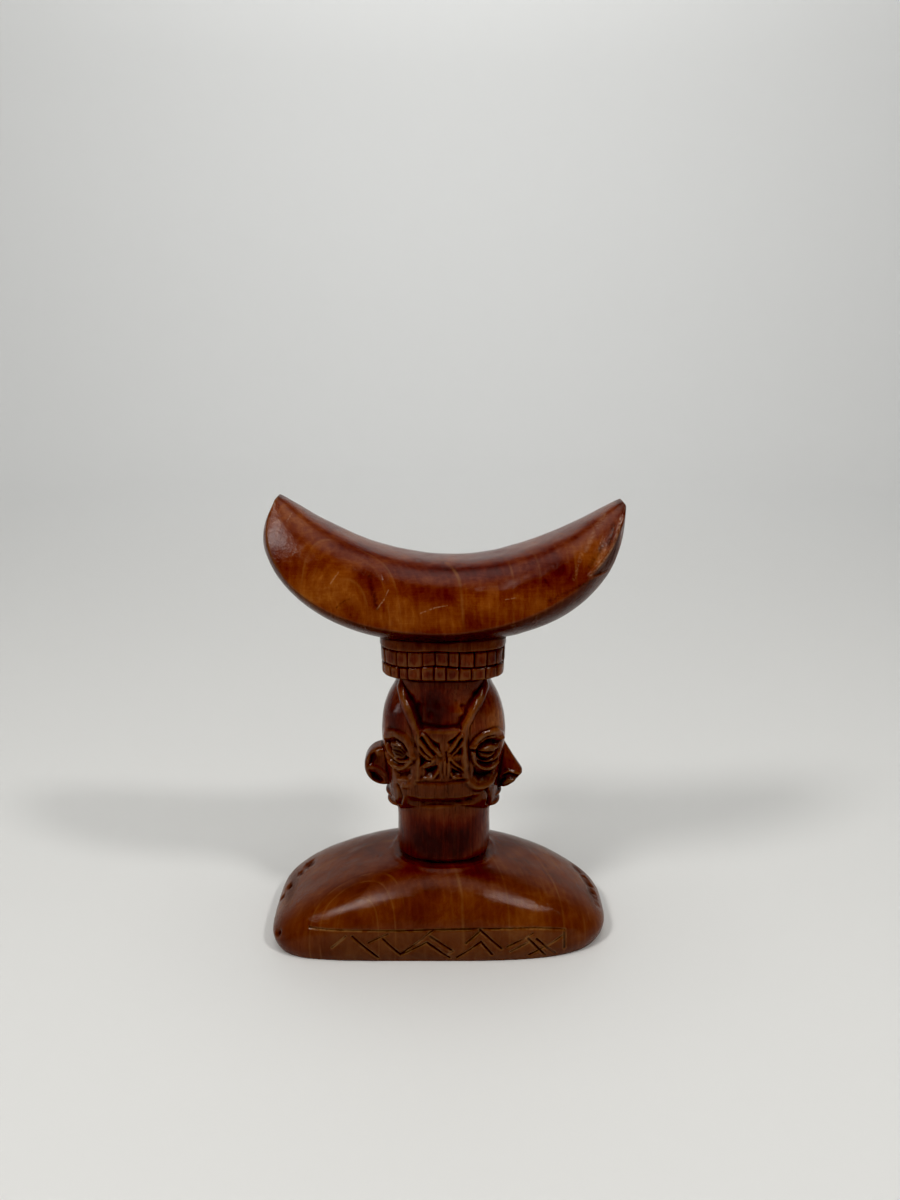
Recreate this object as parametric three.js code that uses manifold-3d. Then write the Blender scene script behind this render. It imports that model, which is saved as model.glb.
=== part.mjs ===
// Carved headrest: a crescent pillow on a collar, a double-faced head, a neck and a domed base.
// It is carved from one block of wood, so it is one mesh. Millimetres, +Z up, underside on z = 0.
// The two faces look along -X and +X. The front, with the fuller carving, is -Y.
import * as THREE from 'three';
import { mergeVertices } from 'three/addons/utils/BufferGeometryUtils.js';
import Module from 'manifold-3d';

const wasm = await Module();
wasm.setup();

// The forms are measured from the neck's axis, which stands a little right of the whole object's middle
const neckAxisX = 0.62;

// Base: a loaf-shaped dome
const base = {
  middleX: -1.4,
  halfLength: 63.6,
  halfDepth: 30.7,
  height: 32.6,
  bulgeHeight: 5.5,
  footInset: 0.035,
  endRoundness: 1.49,
  frontRoundness: 2.5,
  leftSquareness: 5.4,
  rightSquareness: 3.3,
  topSquareness: 3.3,
};

// Incised zigzag band on the base
const band = {
  top: 12.4,
  endDrop: 1.6,
  peak: 11.8,
  innerPeak: 7.6,
  valley: 2.4,
  firstPeakX: -22.5,
  pitch: 18,
  peaks: 4,
  innerHalfSpan: 5.3,
  endX: 44.5,
  strokeHalfWidth: 0.6,
  strokeDepth: 0.9,
};

// Neck: a short round post with a groove where it meets the dome
const neck = { halfWidth: 17.6, halfDepth: 15, bottom: 26, top: 66, groove: 1.1, squareness: 2.3 };

// Head: height, half width across the two faces, half depth
const headLevels = [
  [48.5, 17.2, 15.4],
  [50.5, 19.6, 16.3],
  [54, 20.6, 16.7],
  [58, 20.8, 16.8],
  [62, 20.8, 16.7],
  [67, 21.4, 16.4],
  [72, 22.4, 16.2],
  [77, 23, 16],
  [81, 23.1, 15.9],
  [86, 22.6, 15.8],
  [90, 21.7, 15.7],
  [94, 20.2, 15.4],
  [98, 18, 14.8],
  [101, 16.8, 14.4],
  [106, 16.4, 14.2],
];
const headSquareness = 2.25;
const jaw = { rise: 7.5, fadeHeight: 70 };

// Panels on the front and back of the head: a sunk trapezoid over a cross of four leaves
const panel = { bottom: 85, top: 101, bottomHalfWidth: 7.6, topHalfWidth: 13.4, depth: 2.4 };
const leaf = { crossX: 0.6, crossHeight: 75.6, length: 9.8, width: 4.6, depth: 1.7, tilt: 0.82, reach: 5.1 };

// Face frame: the raised edge between a face and a panel, as x and z at its bends
const leftFrame = [[16, 101.4], [14, 94], [10.4, 86], [8.4, 79], [8.3, 71], [11.2, 64.6]];
const rightFrame = [[16, 101.4], [13.4, 96], [9.4, 90.4], [7.7, 84.4], [7.7, 76.7], [8.6, 69], [12.6, 63.4]];
const frameHalfWidth = 1.1;

// Faces: eyes and hollow cheeks at the corners of the head, noses and lips in the middle
// Half sizes go outward, along the surface and upright. Sinks are how deep their middles lie.
const eye = {
  x: 17.6,
  height: 74.3,
  socket: [2.5, 6.2, 6.2],
  socketSink: -0.6,
  bean: [2.7, 5.2, 3],
  beanSink: 1.6,
  slit: [1, 5, 0.6],
  slitSink: -1.3,
};
const cheek = { x: 15.4, height: 65.6, hollow: [1.9, 4.4, 3.8], sink: -0.4 };
const roundNose = { x: 22.4, height: 66, halfLength: 7.4, halfHeight: 7.84, halfWidth: 4.6, sides: 18 };
const nostril = { x: -24.2, height: 63.6, halfSizes: [3.4, 1.9, 2.8], outset: 0.6 };
const wedgeNose = { back: 17, tipInset: 1.6 };
// Wedge nose: height, reach and half width
const wedgeLevels = [
  [57.2, 22.8, 3.6],
  [60.2, 27.6, 4.6],
  [62.2, 29.7, 4.6],
  [63.6, 29.6, 4.6],
  [66, 28.2, 3.6],
  [70, 25.7, 2.7],
  [75.5, 22.4, 2.2],
];
const upperLip = { x: 17.6, height: 55.2, halfSizes: [4.4, 7, 1.8] };
const lowerLip = { x: 17.2, height: 51.8, halfSizes: [4.3, 6.4, 1.9] };

// Collar: two rows of blocks and a plain ring above
const collar = {
  halfWidth: 22.3,
  halfDepth: 17,
  squareness: 3.4,
  bottom: 104.6,
  lowerRow: 4.5,
  upperRow: 5.6,
  rowGap: 0.5,
  blocks: 28,
  groove: 0.9,
  footScale: 0.98,
  ringTop: 121,
};

// Crescent: the saddle where the head lies, the sharp lower edge and the keel under it.
// The saddle is round in the middle and straighter towards the tips.
const saddle = { x: 2.85, height: 145.2, roundness: 77.2, leftSlope: 4.2, rightSlope: 1.5 };
const arris = {
  height: 124.1,
  halfDepth: 23.4,
  left: { reach: 62.4, squareness: 2.16 },
  right: { reach: 61.7, squareness: 1.8 },
};
const keel = {
  height: 115.2,
  left: { reach: 65.2, squareness: 2.28 },
  right: { reach: 63.9, squareness: 2.37 },
};
// Each horn leans in above a height, rounds over at the top and ends in a small slanted cap
const horn = {
  leftEnd: -57.6,
  rightEnd: 62.6,
  roundOver: 0.8,
  roundOverSharpness: 24,
  leftCap: 1,
  rightCap: 1,
  capDrop: 1.3,
  leanHeight: 148,
};
const tip = { halfDepth: 5, thickness: 1.4 };
// The top's corner is round and wider than the flat, and the underside falls in to the keel
const crescentSection = { topSquareness: 3, topInset: 0.13, underSquareness: 1.6 };
const crescentStations = 24;

const mix = (from, to, share) => from + (to - from) * share;
const clamp01 = (value) => Math.min(1, Math.max(0, value));
const smooth = (value) => clamp01(value) ** 2 * (3 - 2 * clamp01(value));
const signedPower = (value, power) => Math.sign(value) * Math.abs(value) ** power;
const radians = (degrees) => (degrees * Math.PI) / 180;

// A ring between an ellipse (squareness 2) and a rectangle with round corners, at height z.
function planRing(halfLength, halfDepth, squareness, z, count) {
  const ring = [];
  for (let i = 0; i < count; i += 1) {
    const angle = (i / count) * Math.PI * 2;
    ring.push([
      halfLength * signedPower(Math.cos(angle), 2 / squareness),
      halfDepth * signedPower(Math.sin(angle), 2 / squareness),
      z,
    ]);
  }
  return ring;
}

// How far such an outline reaches in depth at x.
function planDepth(x, halfLength, halfDepth, squareness) {
  const across = clamp01(Math.abs(x) / halfLength) ** squareness;
  return halfDepth * (1 - across) ** (1 / squareness);
}

// A closed skin over rings of equal length, each end closed by a fan to its middle.
function loftGeometry(rings) {
  const count = rings[0].length;
  const positions = rings.flat(2);
  const indices = [];
  for (let r = 0; r + 1 < rings.length; r += 1) {
    for (let i = 0; i < count; i += 1) {
      const a = r * count + i;
      const b = r * count + ((i + 1) % count);
      indices.push(a, b, b + count, a, b + count, a + count);
    }
  }
  for (const top of [false, true]) {
    const ring = top ? rings.at(-1) : rings[0];
    const start = top ? (rings.length - 1) * count : 0;
    const middle = positions.length / 3;
    for (let axis = 0; axis < 3; axis += 1) {
      positions.push(ring.reduce((sum, point) => sum + point[axis], 0) / count);
    }
    for (let i = 0; i < count; i += 1) {
      const a = start + i;
      const b = start + ((i + 1) % count);
      indices.push(...(top ? [a, b, middle] : [b, a, middle]));
    }
  }
  const geometry = new THREE.BufferGeometry();
  geometry.setAttribute('position', new THREE.Float32BufferAttribute(positions, 3));
  geometry.setIndex(indices);
  return geometry;
}

// The solid of a closed geometry, so that forms can be joined and cut.
function solid(geometry) {
  const plain = geometry.clone();
  plain.deleteAttribute('normal');
  plain.deleteAttribute('uv');
  const merged = mergeVertices(plain, 1e-4);
  const vertProperties = new Float32Array(merged.attributes.position.array);
  const triVerts = new Uint32Array(merged.index.array);
  return new wasm.Manifold(new wasm.Mesh({ numProp: 3, vertProperties, triVerts }));
}

// An ellipsoid with half sizes along X, Y and Z, then turned about Z.
function ellipsoid(centre, halfSizes, turn, segments) {
  const geometry = new THREE.SphereGeometry(1, segments, Math.round(segments * 0.6));
  geometry.scale(...halfSizes);
  geometry.rotateZ(turn);
  geometry.translate(...centre);
  return solid(geometry);
}

// A prism through an outline in x and z, from one depth to another.
function frontPrism(outline, fromY, toY) {
  const shape = new THREE.Shape(outline.map(([x, z]) => new THREE.Vector2(x, z)));
  const depth = Math.abs(toY - fromY);
  const geometry = new THREE.ExtrudeGeometry(shape, { depth, bevelEnabled: false });
  geometry.rotateX(Math.PI / 2);
  geometry.translate(0, Math.max(fromY, toY), 0);
  return solid(geometry);
}

// The share of the base's full size that its outline has at height z.
function domeShare(z, roundness) {
  if (z < base.bulgeHeight) {
    return 1 - base.footInset * (1 - z / base.bulgeHeight) ** 2;
  }
  const rise = (z - base.bulgeHeight) / (base.height - base.bulgeHeight);
  return (1 - rise ** roundness) ** (1 / roundness);
}

// The base's half length, half depth and squareness at height z. The left end is the squarer one.
function baseOutline(z, across) {
  return [
    base.halfLength * domeShare(z, base.endRoundness),
    base.halfDepth * domeShare(z, base.frontRoundness),
    mix(across < 0 ? base.leftSquareness : base.rightSquareness, base.topSquareness, z / base.height),
  ];
}

function baseSolid() {
  const levels = [0, 1.6, 4, 7.5, 11.5, 15.5, 19.5, 23.3, 26.7, 29.4, 31.1];
  const rings = levels.map((z) => {
    const left = planRing(...baseOutline(z, -1), z, 38);
    const right = planRing(...baseOutline(z, 1), z, 38);
    return left.map((point, i) => (point[0] < 0 ? point : right[i]))
      .map(([x, y]) => [x + base.middleX, y, z]);
  });
  return solid(loftGeometry(rings));
}

// A point on the base's front (side -1) or back (side 1).
function basePoint(x, z, side) {
  const across = x - base.middleX;
  return new THREE.Vector3(x, side * planDepth(across, ...baseOutline(z, across)), z);
}

// One stroke of the band: a V-shaped cut between two places on the base.
function strokeCut([fromX, fromZ], [toX, toZ], side) {
  const from = basePoint(fromX, fromZ, side);
  const to = basePoint(toX, toZ, side);
  const along = to.clone().sub(from).normalize();
  const upSlope = basePoint((fromX + toX) / 2, (fromZ + toZ) / 2 + 1, side)
    .sub(basePoint((fromX + toX) / 2, (fromZ + toZ) / 2, side));
  const outward = new THREE.Vector3(0, side, 0);
  outward.addScaledVector(along, -outward.dot(along)).normalize();
  outward.addScaledVector(upSlope.normalize(), -outward.dot(upSlope)).normalize();
  const sideways = outward.clone().cross(along);
  const ring = (point) => [[-1, 1], [0, -1], [1, 1]].map(([across, out]) => {
    const reach = out > 0 ? band.strokeDepth : -band.strokeDepth;
    return point.clone()
      .addScaledVector(sideways, across * band.strokeHalfWidth * 2)
      .addScaledVector(outward, reach)
      .toArray();
  });
  return solid(loftGeometry([ring(from), ring(to)]));
}

// The band: a line above, and chevrons below it, double in front and single behind.
function bandCuts(side, double) {
  const cuts = [];
  const bends = [-band.endX, -band.endX * 0.6, 0, band.endX * 0.6, band.endX];
  const line = bends.map((x) => [x, band.top - band.endDrop * (x / band.endX) ** 2]);
  for (let i = 0; i + 1 < line.length; i += 1) {
    cuts.push(strokeCut(line[i], line[i + 1], side));
  }
  for (let i = 0; i < band.peaks; i += 1) {
    const x = band.firstPeakX + i * band.pitch;
    cuts.push(strokeCut([x - band.pitch / 2, band.valley], [x, band.peak], side));
    cuts.push(strokeCut([x, band.peak], [x + band.pitch / 2, band.valley], side));
    if (double) {
      cuts.push(strokeCut([x - band.innerHalfSpan, band.valley], [x, band.innerPeak], side));
      cuts.push(strokeCut([x, band.innerPeak], [x + band.innerHalfSpan, band.valley], side));
    }
  }
  return cuts;
}

function neckSolid() {
  const levels = [
    [neck.bottom, -neck.groove],
    [base.height - 1.1, -neck.groove],
    [base.height + 0.4, 0],
    [44, -0.2],
    [neck.top, 0.1],
  ];
  const rings = levels.map(([z, grow]) =>
    planRing(neck.halfWidth + grow, neck.halfDepth + grow, neck.squareness, z, 32));
  return solid(loftGeometry(rings));
}

// The head's outline at height z, between the two nearest levels.
function headOutline(z) {
  const above = Math.max(1, headLevels.findIndex(([height]) => height >= z));
  const [low, lowWidth, lowDepth] = headLevels[above - 1];
  const [high, highWidth, highDepth] = headLevels[above];
  const share = clamp01((z - low) / (high - low));
  return [mix(lowWidth, highWidth, share), mix(lowDepth, highDepth, share), headSquareness];
}

// The jaw's lower edge rises from each chin towards the front and back.
function jawLift(y, z) {
  const share = smooth((jaw.fadeHeight - z) / (jaw.fadeHeight - headLevels[0][0]));
  return jaw.rise * share * clamp01(Math.abs(y) / headLevels[0][2]) ** 1.6;
}

function headSolid() {
  const rings = headLevels.map(([z]) => planRing(...headOutline(z), z, 30)
    .map(([x, y]) => [x, y, z + jawLift(y, z)]));
  return solid(loftGeometry(rings));
}

const headDepth = (x, z) => planDepth(x, ...headOutline(z));

// The direction about Z in which the head's surface faces at x on the front or back.
function headTurn(x, z, side) {
  const [halfWidth, halfDepth, squareness] = headOutline(z);
  const power = squareness - 1;
  const towardX = signedPower(x / halfWidth, power) / halfWidth;
  const towardY = (side * (headDepth(x, z) / halfDepth) ** power) / halfDepth;
  return Math.atan2(towardY, towardX);
}

// An ellipsoid set in the head's surface: half sizes outward, along the surface and upright.
function surfaceEllipsoid(x, z, side, sink, halfSizes, segments) {
  const turn = headTurn(x, z, side);
  const centre = [x - sink * Math.cos(turn), side * headDepth(x, z) - sink * Math.sin(turn), z];
  return ellipsoid(centre, halfSizes, turn, segments);
}

// The sunk panel and the leaf-shaped hollows of the cross.
function panelCuts(side) {
  const outline = [
    [-panel.bottomHalfWidth, panel.bottom],
    [panel.bottomHalfWidth, panel.bottom],
    [panel.topHalfWidth, panel.top],
    [-panel.topHalfWidth, panel.top],
  ];
  const surface = headDepth(0, (panel.bottom + panel.top) / 2);
  const cuts = [frontPrism(outline, side * (surface - panel.depth), side * (surface + panel.depth))];
  for (const across of [-1, 1]) {
    for (const up of [-1, 1]) {
      const x = leaf.crossX + across * leaf.reach;
      const z = leaf.crossHeight + up * leaf.reach;
      const geometry = new THREE.SphereGeometry(1, 8, 6);
      geometry.scale(leaf.length / 2, leaf.depth, leaf.width / 2);
      geometry.rotateY(-across * up * leaf.tilt);
      geometry.translate(x, side * headDepth(x, z), z);
      cuts.push(solid(geometry));
    }
  }
  return cuts;
}

// A face frame: a bar half sunk in the head's surface along its bends.
function faceFrame(bends, across, side) {
  const path = bends.map(([x, z]) => new THREE.Vector3(across * x, side * headDepth(x, z), z));
  const section = new THREE.Shape();
  section.absarc(0, 0, frameHalfWidth, 0, Math.PI * 2);
  const extrudePath = new THREE.CatmullRomCurve3(path);
  const steps = bends.length + 2;
  return solid(new THREE.ExtrudeGeometry(section, { steps, extrudePath, curveSegments: 2 }));
}

// The hollows that an eye and a cheek lie in.
function eyeCuts(across, side) {
  return [
    surfaceEllipsoid(across * eye.x, eye.height, side, eye.socketSink, eye.socket, 10),
    surfaceEllipsoid(across * cheek.x, cheek.height, side, cheek.sink, cheek.hollow, 9),
  ];
}

// A bean-shaped eye with a slit across it.
function eyeBean(across, side) {
  const bean = surfaceEllipsoid(across * eye.x, eye.height, side, eye.beanSink, eye.bean, 9);
  const slit = surfaceEllipsoid(across * eye.x, eye.height, side, eye.slitSink, eye.slit, 6);
  return bean.subtract(slit);
}

// Left nose: a round disc in profile, with a hollow in each flank.
function roundNoseSolid() {
  const outline = [];
  for (let i = 0; i < roundNose.sides; i += 1) {
    const angle = (i / roundNose.sides) * Math.PI * 2;
    outline.push([
      -roundNose.x + roundNose.halfLength * Math.cos(angle),
      roundNose.height + roundNose.halfHeight * Math.sin(angle),
    ]);
  }
  let nose = frontPrism(outline, -roundNose.halfWidth, roundNose.halfWidth);
  for (const side of [-1, 1]) {
    const centre = [nostril.x, side * (roundNose.halfWidth + nostril.outset), nostril.height];
    nose = nose.subtract(ellipsoid(centre, nostril.halfSizes, 0, 8));
  }
  return nose;
}

// Right nose: a wedge from a thin bridge to a broad tip.
function wedgeNoseSolid() {
  const rings = wedgeLevels.map(([z, reach, halfWidth]) => [
    [wedgeNose.back, -halfWidth, z],
    [reach - wedgeNose.tipInset, -halfWidth, z],
    [reach, -halfWidth * 0.4, z],
    [reach, halfWidth * 0.4, z],
    [reach - wedgeNose.tipInset, halfWidth, z],
    [wedgeNose.back, halfWidth, z],
  ]);
  return solid(loftGeometry(rings));
}

function lipSolids(across) {
  return [upperLip, lowerLip].map(({ x, height, halfSizes }) =>
    ellipsoid([across * x, 0, height], halfSizes, 0, 9));
}

// The collar's outline as points at even distances along it.
function evenCollarOutline(count) {
  const fine = planRing(collar.halfWidth, collar.halfDepth, collar.squareness, 0, count * 12);
  const distances = [0];
  for (let i = 0; i < fine.length; i += 1) {
    const [nextX, nextY] = fine[(i + 1) % fine.length];
    distances.push(distances[i] + Math.hypot(nextX - fine[i][0], nextY - fine[i][1]));
  }
  const outline = [];
  for (let i = 0; i < count; i += 1) {
    const wanted = (i / count) * distances.at(-1);
    outline.push(fine[distances.findIndex((distance) => distance >= wanted) % fine.length]);
  }
  return outline;
}

// One row of blocks: after each block the outline steps in to a groove. A shift starts it further on.
function blockRow(bottom, top, shift) {
  const stepsPerBlock = 8;
  const insets = [[0, 0], [6, 0], [7, collar.groove]];
  const outline = evenCollarOutline(collar.blocks * stepsPerBlock);
  const ring = [];
  for (let block = 0; block < collar.blocks; block += 1) {
    for (const [step, inset] of insets) {
      const [x, y] = outline[(block * stepsPerBlock + step + shift) % outline.length];
      const inward = 1 - inset / Math.hypot(x, y);
      ring.push([x * inward, y * inward]);
    }
  }
  const levels = [[bottom, collar.footScale], [bottom + 0.5, 1], [top, 1]];
  return solid(loftGeometry(levels.map(([z, scale]) => ring.map(([x, y]) => [x * scale, y * scale, z]))));
}

function collarSolids() {
  const upperBottom = collar.bottom + collar.lowerRow + collar.rowGap;
  const rowsTop = upperBottom + collar.upperRow;
  const level = (grow, z) =>
    planRing(collar.halfWidth + grow, collar.halfDepth + grow, collar.squareness, z, 32);
  return [
    blockRow(collar.bottom, collar.bottom + collar.lowerRow, 4),
    blockRow(upperBottom, rowsTop, 5),
    solid(loftGeometry([
      level(-1.2, collar.bottom + 0.6),
      level(-1.2, rowsTop + 0.3),
      level(0.4, rowsTop + 1.1),
      level(0.2, collar.ringTop),
    ])),
  ];
}

// The top line from end to end, at t from -1 to 1.
function topLine(t) {
  const x = mix(horn.leftEnd, horn.rightEnd, (t + 1) / 2);
  const slope = x < saddle.x ? saddle.leftSlope : saddle.rightSlope;
  const radius = saddle.roundness * slope;
  const rise = slope * (Math.hypot(radius, x - saddle.x) - radius);
  return [x, saddle.height + rise - horn.roundOver * Math.abs(t) ** horn.roundOverSharpness];
}

// A line under the top line, from one horn's cap down to its height in the middle and up to the other.
function sweptLine(t, line) {
  const { reach, squareness } = t < 0 ? line.left : line.right;
  const [endX, endZ] = topLine(t < 0 ? -1 : 1);
  const capX = Math.abs(endX) + (t < 0 ? horn.leftCap : horn.rightCap);
  const capZ = endZ - horn.capDrop;
  const angle = radians(90 * t);
  const x = reach * signedPower(Math.sin(angle), 2 / squareness);
  const z = capZ - (capZ - line.height) * clamp01(Math.cos(angle)) ** (2 / squareness);
  const lean = clamp01((z - horn.leanHeight) / (capZ - horn.leanHeight)) ** 2;
  return [x - Math.sign(t) * (reach - capX) * lean, z];
}

// One cross-section of the crescent: rounded top and face, sharp arris, and the slope to the keel.
function crescentRing(t) {
  const [topX, topZ] = topLine(t);
  const [arrisX, arrisZ] = sweptLine(t, arris);
  const [keelX, keelZ] = sweptLine(t, keel);
  const fullness = (1 - Math.abs(t) ** 4) ** 1.3;
  const halfDepth = mix(tip.halfDepth, arris.halfDepth, fullness);
  const thickness = tip.thickness * (1 - fullness);
  const { topSquareness, topInset, underSquareness } = crescentSection;
  const profile = [];
  for (const angle of [90, 62, 45, 30, 18, 8, 0]) {
    const out = Math.cos(radians(angle)) ** (2 / topSquareness);
    const up = Math.sin(radians(angle)) ** (2 / topSquareness);
    const y = halfDepth * out * (1 - topInset * up);
    profile.push([mix(arrisX, topX, up), y, mix(arrisZ, topZ, up)]);
  }
  for (const angle of [24, 48, 70, 90]) {
    const out = Math.cos(radians(angle)) ** (2 / underSquareness);
    const down = Math.sin(radians(angle)) ** (2 / underSquareness);
    profile.push([mix(arrisX, keelX, down), halfDepth * out, mix(arrisZ, keelZ - thickness, down)]);
  }
  const front = profile.map(([x, y, z]) => [x, -y, z]);
  const back = profile.slice(1, -1).reverse();
  return [...front, ...back];
}

function crescentSolid() {
  const rings = [];
  for (let station = 0; station <= crescentStations; station += 1) {
    const even = (station / crescentStations) * 2 - 1;
    rings.push(crescentRing(Math.sin(radians(90 * even)) * 0.45 + even * 0.55));
  }
  return solid(loftGeometry(rings));
}

// Join the forms, cut the carving into them, and set the eyes back in their sockets.
function headrestSolid() {
  const forms = [
    baseSolid(),
    neckSolid(),
    headSolid(),
    roundNoseSolid(),
    wedgeNoseSolid(),
    ...lipSolids(-1),
    ...lipSolids(1),
    ...collarSolids(),
    crescentSolid(),
  ];
  const cuts = [...bandCuts(-1, true), ...bandCuts(1, false)];
  const eyes = [];
  for (const side of [-1, 1]) {
    cuts.push(...panelCuts(side));
    for (const across of [-1, 1]) {
      forms.push(faceFrame(across < 0 ? leftFrame : rightFrame, across, side));
      cuts.push(...eyeCuts(across, side));
      eyes.push(eyeBean(across, side));
    }
  }
  let carving = forms.reduce((whole, form) => whole.add(form));
  carving = cuts.reduce((whole, cut) => whole.subtract(cut), carving);
  return eyes.reduce((whole, form) => whole.add(form), carving);
}

// The carved block as a mesh in varnished red-brown wood.
function headrestMesh() {
  const { vertProperties, triVerts } = headrestSolid().getMesh();
  const geometry = new THREE.BufferGeometry();
  geometry.setAttribute('position', new THREE.BufferAttribute(vertProperties, 3));
  geometry.setIndex(new THREE.BufferAttribute(triVerts, 1));
  geometry.computeVertexNormals();
  const wood = new THREE.MeshStandardMaterial({ color: 0x6e2a10, roughness: 0.3, metalness: 0 });
  const mesh = new THREE.Mesh(geometry, wood);
  mesh.name = 'headrest';
  return mesh;
}

const headrest = new THREE.Group();
headrest.position.x = neckAxisX;
headrest.add(headrestMesh());

export default headrest;
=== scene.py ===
# Carved headrest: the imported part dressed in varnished, worn wood, on a plain pale floor.
import math

import bpy
import numpy as np
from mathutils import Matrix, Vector


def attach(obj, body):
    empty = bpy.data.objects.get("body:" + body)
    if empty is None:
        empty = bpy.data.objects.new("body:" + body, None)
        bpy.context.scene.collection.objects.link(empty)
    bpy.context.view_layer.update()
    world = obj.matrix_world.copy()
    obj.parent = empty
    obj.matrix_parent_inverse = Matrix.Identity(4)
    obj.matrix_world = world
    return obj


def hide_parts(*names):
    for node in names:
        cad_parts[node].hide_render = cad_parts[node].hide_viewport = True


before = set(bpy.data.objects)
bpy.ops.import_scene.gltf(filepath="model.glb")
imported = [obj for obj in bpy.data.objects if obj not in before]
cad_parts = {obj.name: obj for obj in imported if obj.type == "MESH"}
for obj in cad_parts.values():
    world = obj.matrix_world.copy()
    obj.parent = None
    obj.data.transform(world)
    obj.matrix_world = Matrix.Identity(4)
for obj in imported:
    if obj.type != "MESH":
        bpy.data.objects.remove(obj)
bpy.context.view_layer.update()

# The carving is worked in millimetres, measured from the neck's axis, with z = 0 under the base.
# The front, with the fuller carving, faces -Y. Made into metres at the end.
NECK_AXIS_X = 0.62
MM = 0.001

# Base
BASE_MIDDLE_X = -1.4
BASE_HALF_LENGTH = 63.6
BASE_HALF_DEPTH = 30.7
BASE_HEIGHT = 32.6
BASE_BULGE = 5.5
BASE_FOOT_INSET = 0.035
BASE_END_ROUNDNESS = 1.49
BASE_FRONT_ROUNDNESS = 2.5
BASE_LEFT_SQUARENESS = 5.4
BASE_RIGHT_SQUARENESS = 3.3
BASE_TOP_SQUARENESS = 3.3

# Neck
NECK_HALF_WIDTH = 17.6
NECK_HALF_DEPTH = 15
NECK_SQUARENESS = 2.3
# Height, and how much wider than its half sizes the neck is there
NECK_LEVELS = [(26, -1.1), (31.5, -1.1), (33, 0), (44, -0.2), (66, 0.1)]

# Head: height, half width across the two faces, half depth
HEAD_LEVELS = [
    (48.5, 17.2, 15.4),
    (50.5, 19.6, 16.3),
    (54, 20.6, 16.7),
    (58, 20.8, 16.8),
    (62, 20.8, 16.7),
    (67, 21.4, 16.4),
    (72, 22.4, 16.2),
    (77, 23, 16),
    (81, 23.1, 15.9),
    (86, 22.6, 15.8),
    (90, 21.7, 15.7),
    (94, 20.2, 15.4),
    (98, 18, 14.8),
    (101, 16.8, 14.4),
    (106, 16.4, 14.2),
]
HEAD_SQUARENESS = 2.25
JAW_RISE = 7.5
JAW_FADE = 70
HEAD_LOW = 48.5
HEAD_LOW_DEPTH = 15.4

# Collar
COLLAR_HALF_WIDTH = 22.3
COLLAR_HALF_DEPTH = 17
COLLAR_SQUARENESS = 3.4
COLLAR_BOTTOM = 104.6
COLLAR_SPLIT = 109.4
COLLAR_ROWS_TOP = 115.2
COLLAR_TOP = 121

# Crescent. The two lines under the saddle have a height, then reach and squareness left and right.
SADDLE_X = 2.85
SADDLE_HEIGHT = 145.2
SADDLE_ROUNDNESS = 77.2
SADDLE_LEFT_SLOPE = 4.2
SADDLE_RIGHT_SLOPE = 1.5
ARRIS = (124.1, (62.4, 2.16), (61.7, 1.8))
KEEL = (115.2, (65.2, 2.28), (63.9, 2.37))
ARRIS_HALF_DEPTH = 23.4
LEFT_END = -57.6
RIGHT_END = 62.6
HORN_ROUND_OVER = 0.8
HORN_CAP = 1
HORN_CAP_DROP = 1.3
LEAN_HEIGHT = 148
TIP_HALF_DEPTH = 5
TIP_THICKNESS = 1.4
TOP_SQUARENESS = 3
TOP_INSET = 0.13
UNDER_SQUARENESS = 1.6

VOXEL = 0.34
FACE_LIMIT = 192000


# Numbers and noise

def mix(low, high, share):
    return low + (high - low) * share


def ramp(value, low, high):
    share = np.clip((value - low) / (high - low), 0, 1)
    return share * share * (3 - 2 * share)


def signed_power(value, power):
    return np.sign(value) * np.abs(value) ** power


def lattice(cell, seed):
    """A fixed random number from 0 to 1 for each whole-numbered cell."""
    mixed = cell[0] * 73856093 ^ cell[1] * 19349663 ^ cell[2] * 83492791 ^ seed * 2654435761
    mixed = (mixed ^ (mixed >> 13)) * 1274126177 & 0xFFFFFFFF
    mixed = (mixed ^ (mixed >> 16)) * 2246822519 & 0xFFFFFFFF
    return ((mixed ^ (mixed >> 15)) & 0xFFFFFF) / 0xFFFFFF


def noise(points, size, seed):
    """Smooth noise from -1 to 1 whose lumps are about size across, which may differ by axis."""
    place = points / np.asarray(size, float)
    low = np.floor(place).astype(np.int64)
    share = place - low
    share = share * share * (3 - 2 * share)
    total = np.zeros(len(points))
    for corner in np.ndindex(2, 2, 2):
        weight = np.where(corner, share, 1 - share)
        total += weight[:, 0] * weight[:, 1] * weight[:, 2] * lattice((low + corner).T, seed)
    return total * 2 - 1


# Outlines and skins

def plan_ring(half_length, half_depth, squareness, count):
    """An outline between an ellipse (squareness 2) and a rectangle with round corners."""
    angle = np.linspace(0, 2 * math.pi, count, endpoint=False)
    across = half_length * signed_power(np.cos(angle), 2 / squareness)
    deep = half_depth * signed_power(np.sin(angle), 2 / squareness)
    return np.column_stack([across, deep])


def plan_depth(x, half_length, half_depth, squareness):
    """How far such an outline reaches in depth at x."""
    across = np.clip(np.abs(x) / half_length, 0, 1) ** squareness
    return half_depth * (1 - across) ** (1 / squareness)


def plan_reach(x, y, half_length, half_depth, squareness):
    """One on such an outline, less inside it and more outside."""
    return (np.abs(x) / half_length) ** squareness + (np.abs(y) / half_depth) ** squareness


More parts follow.
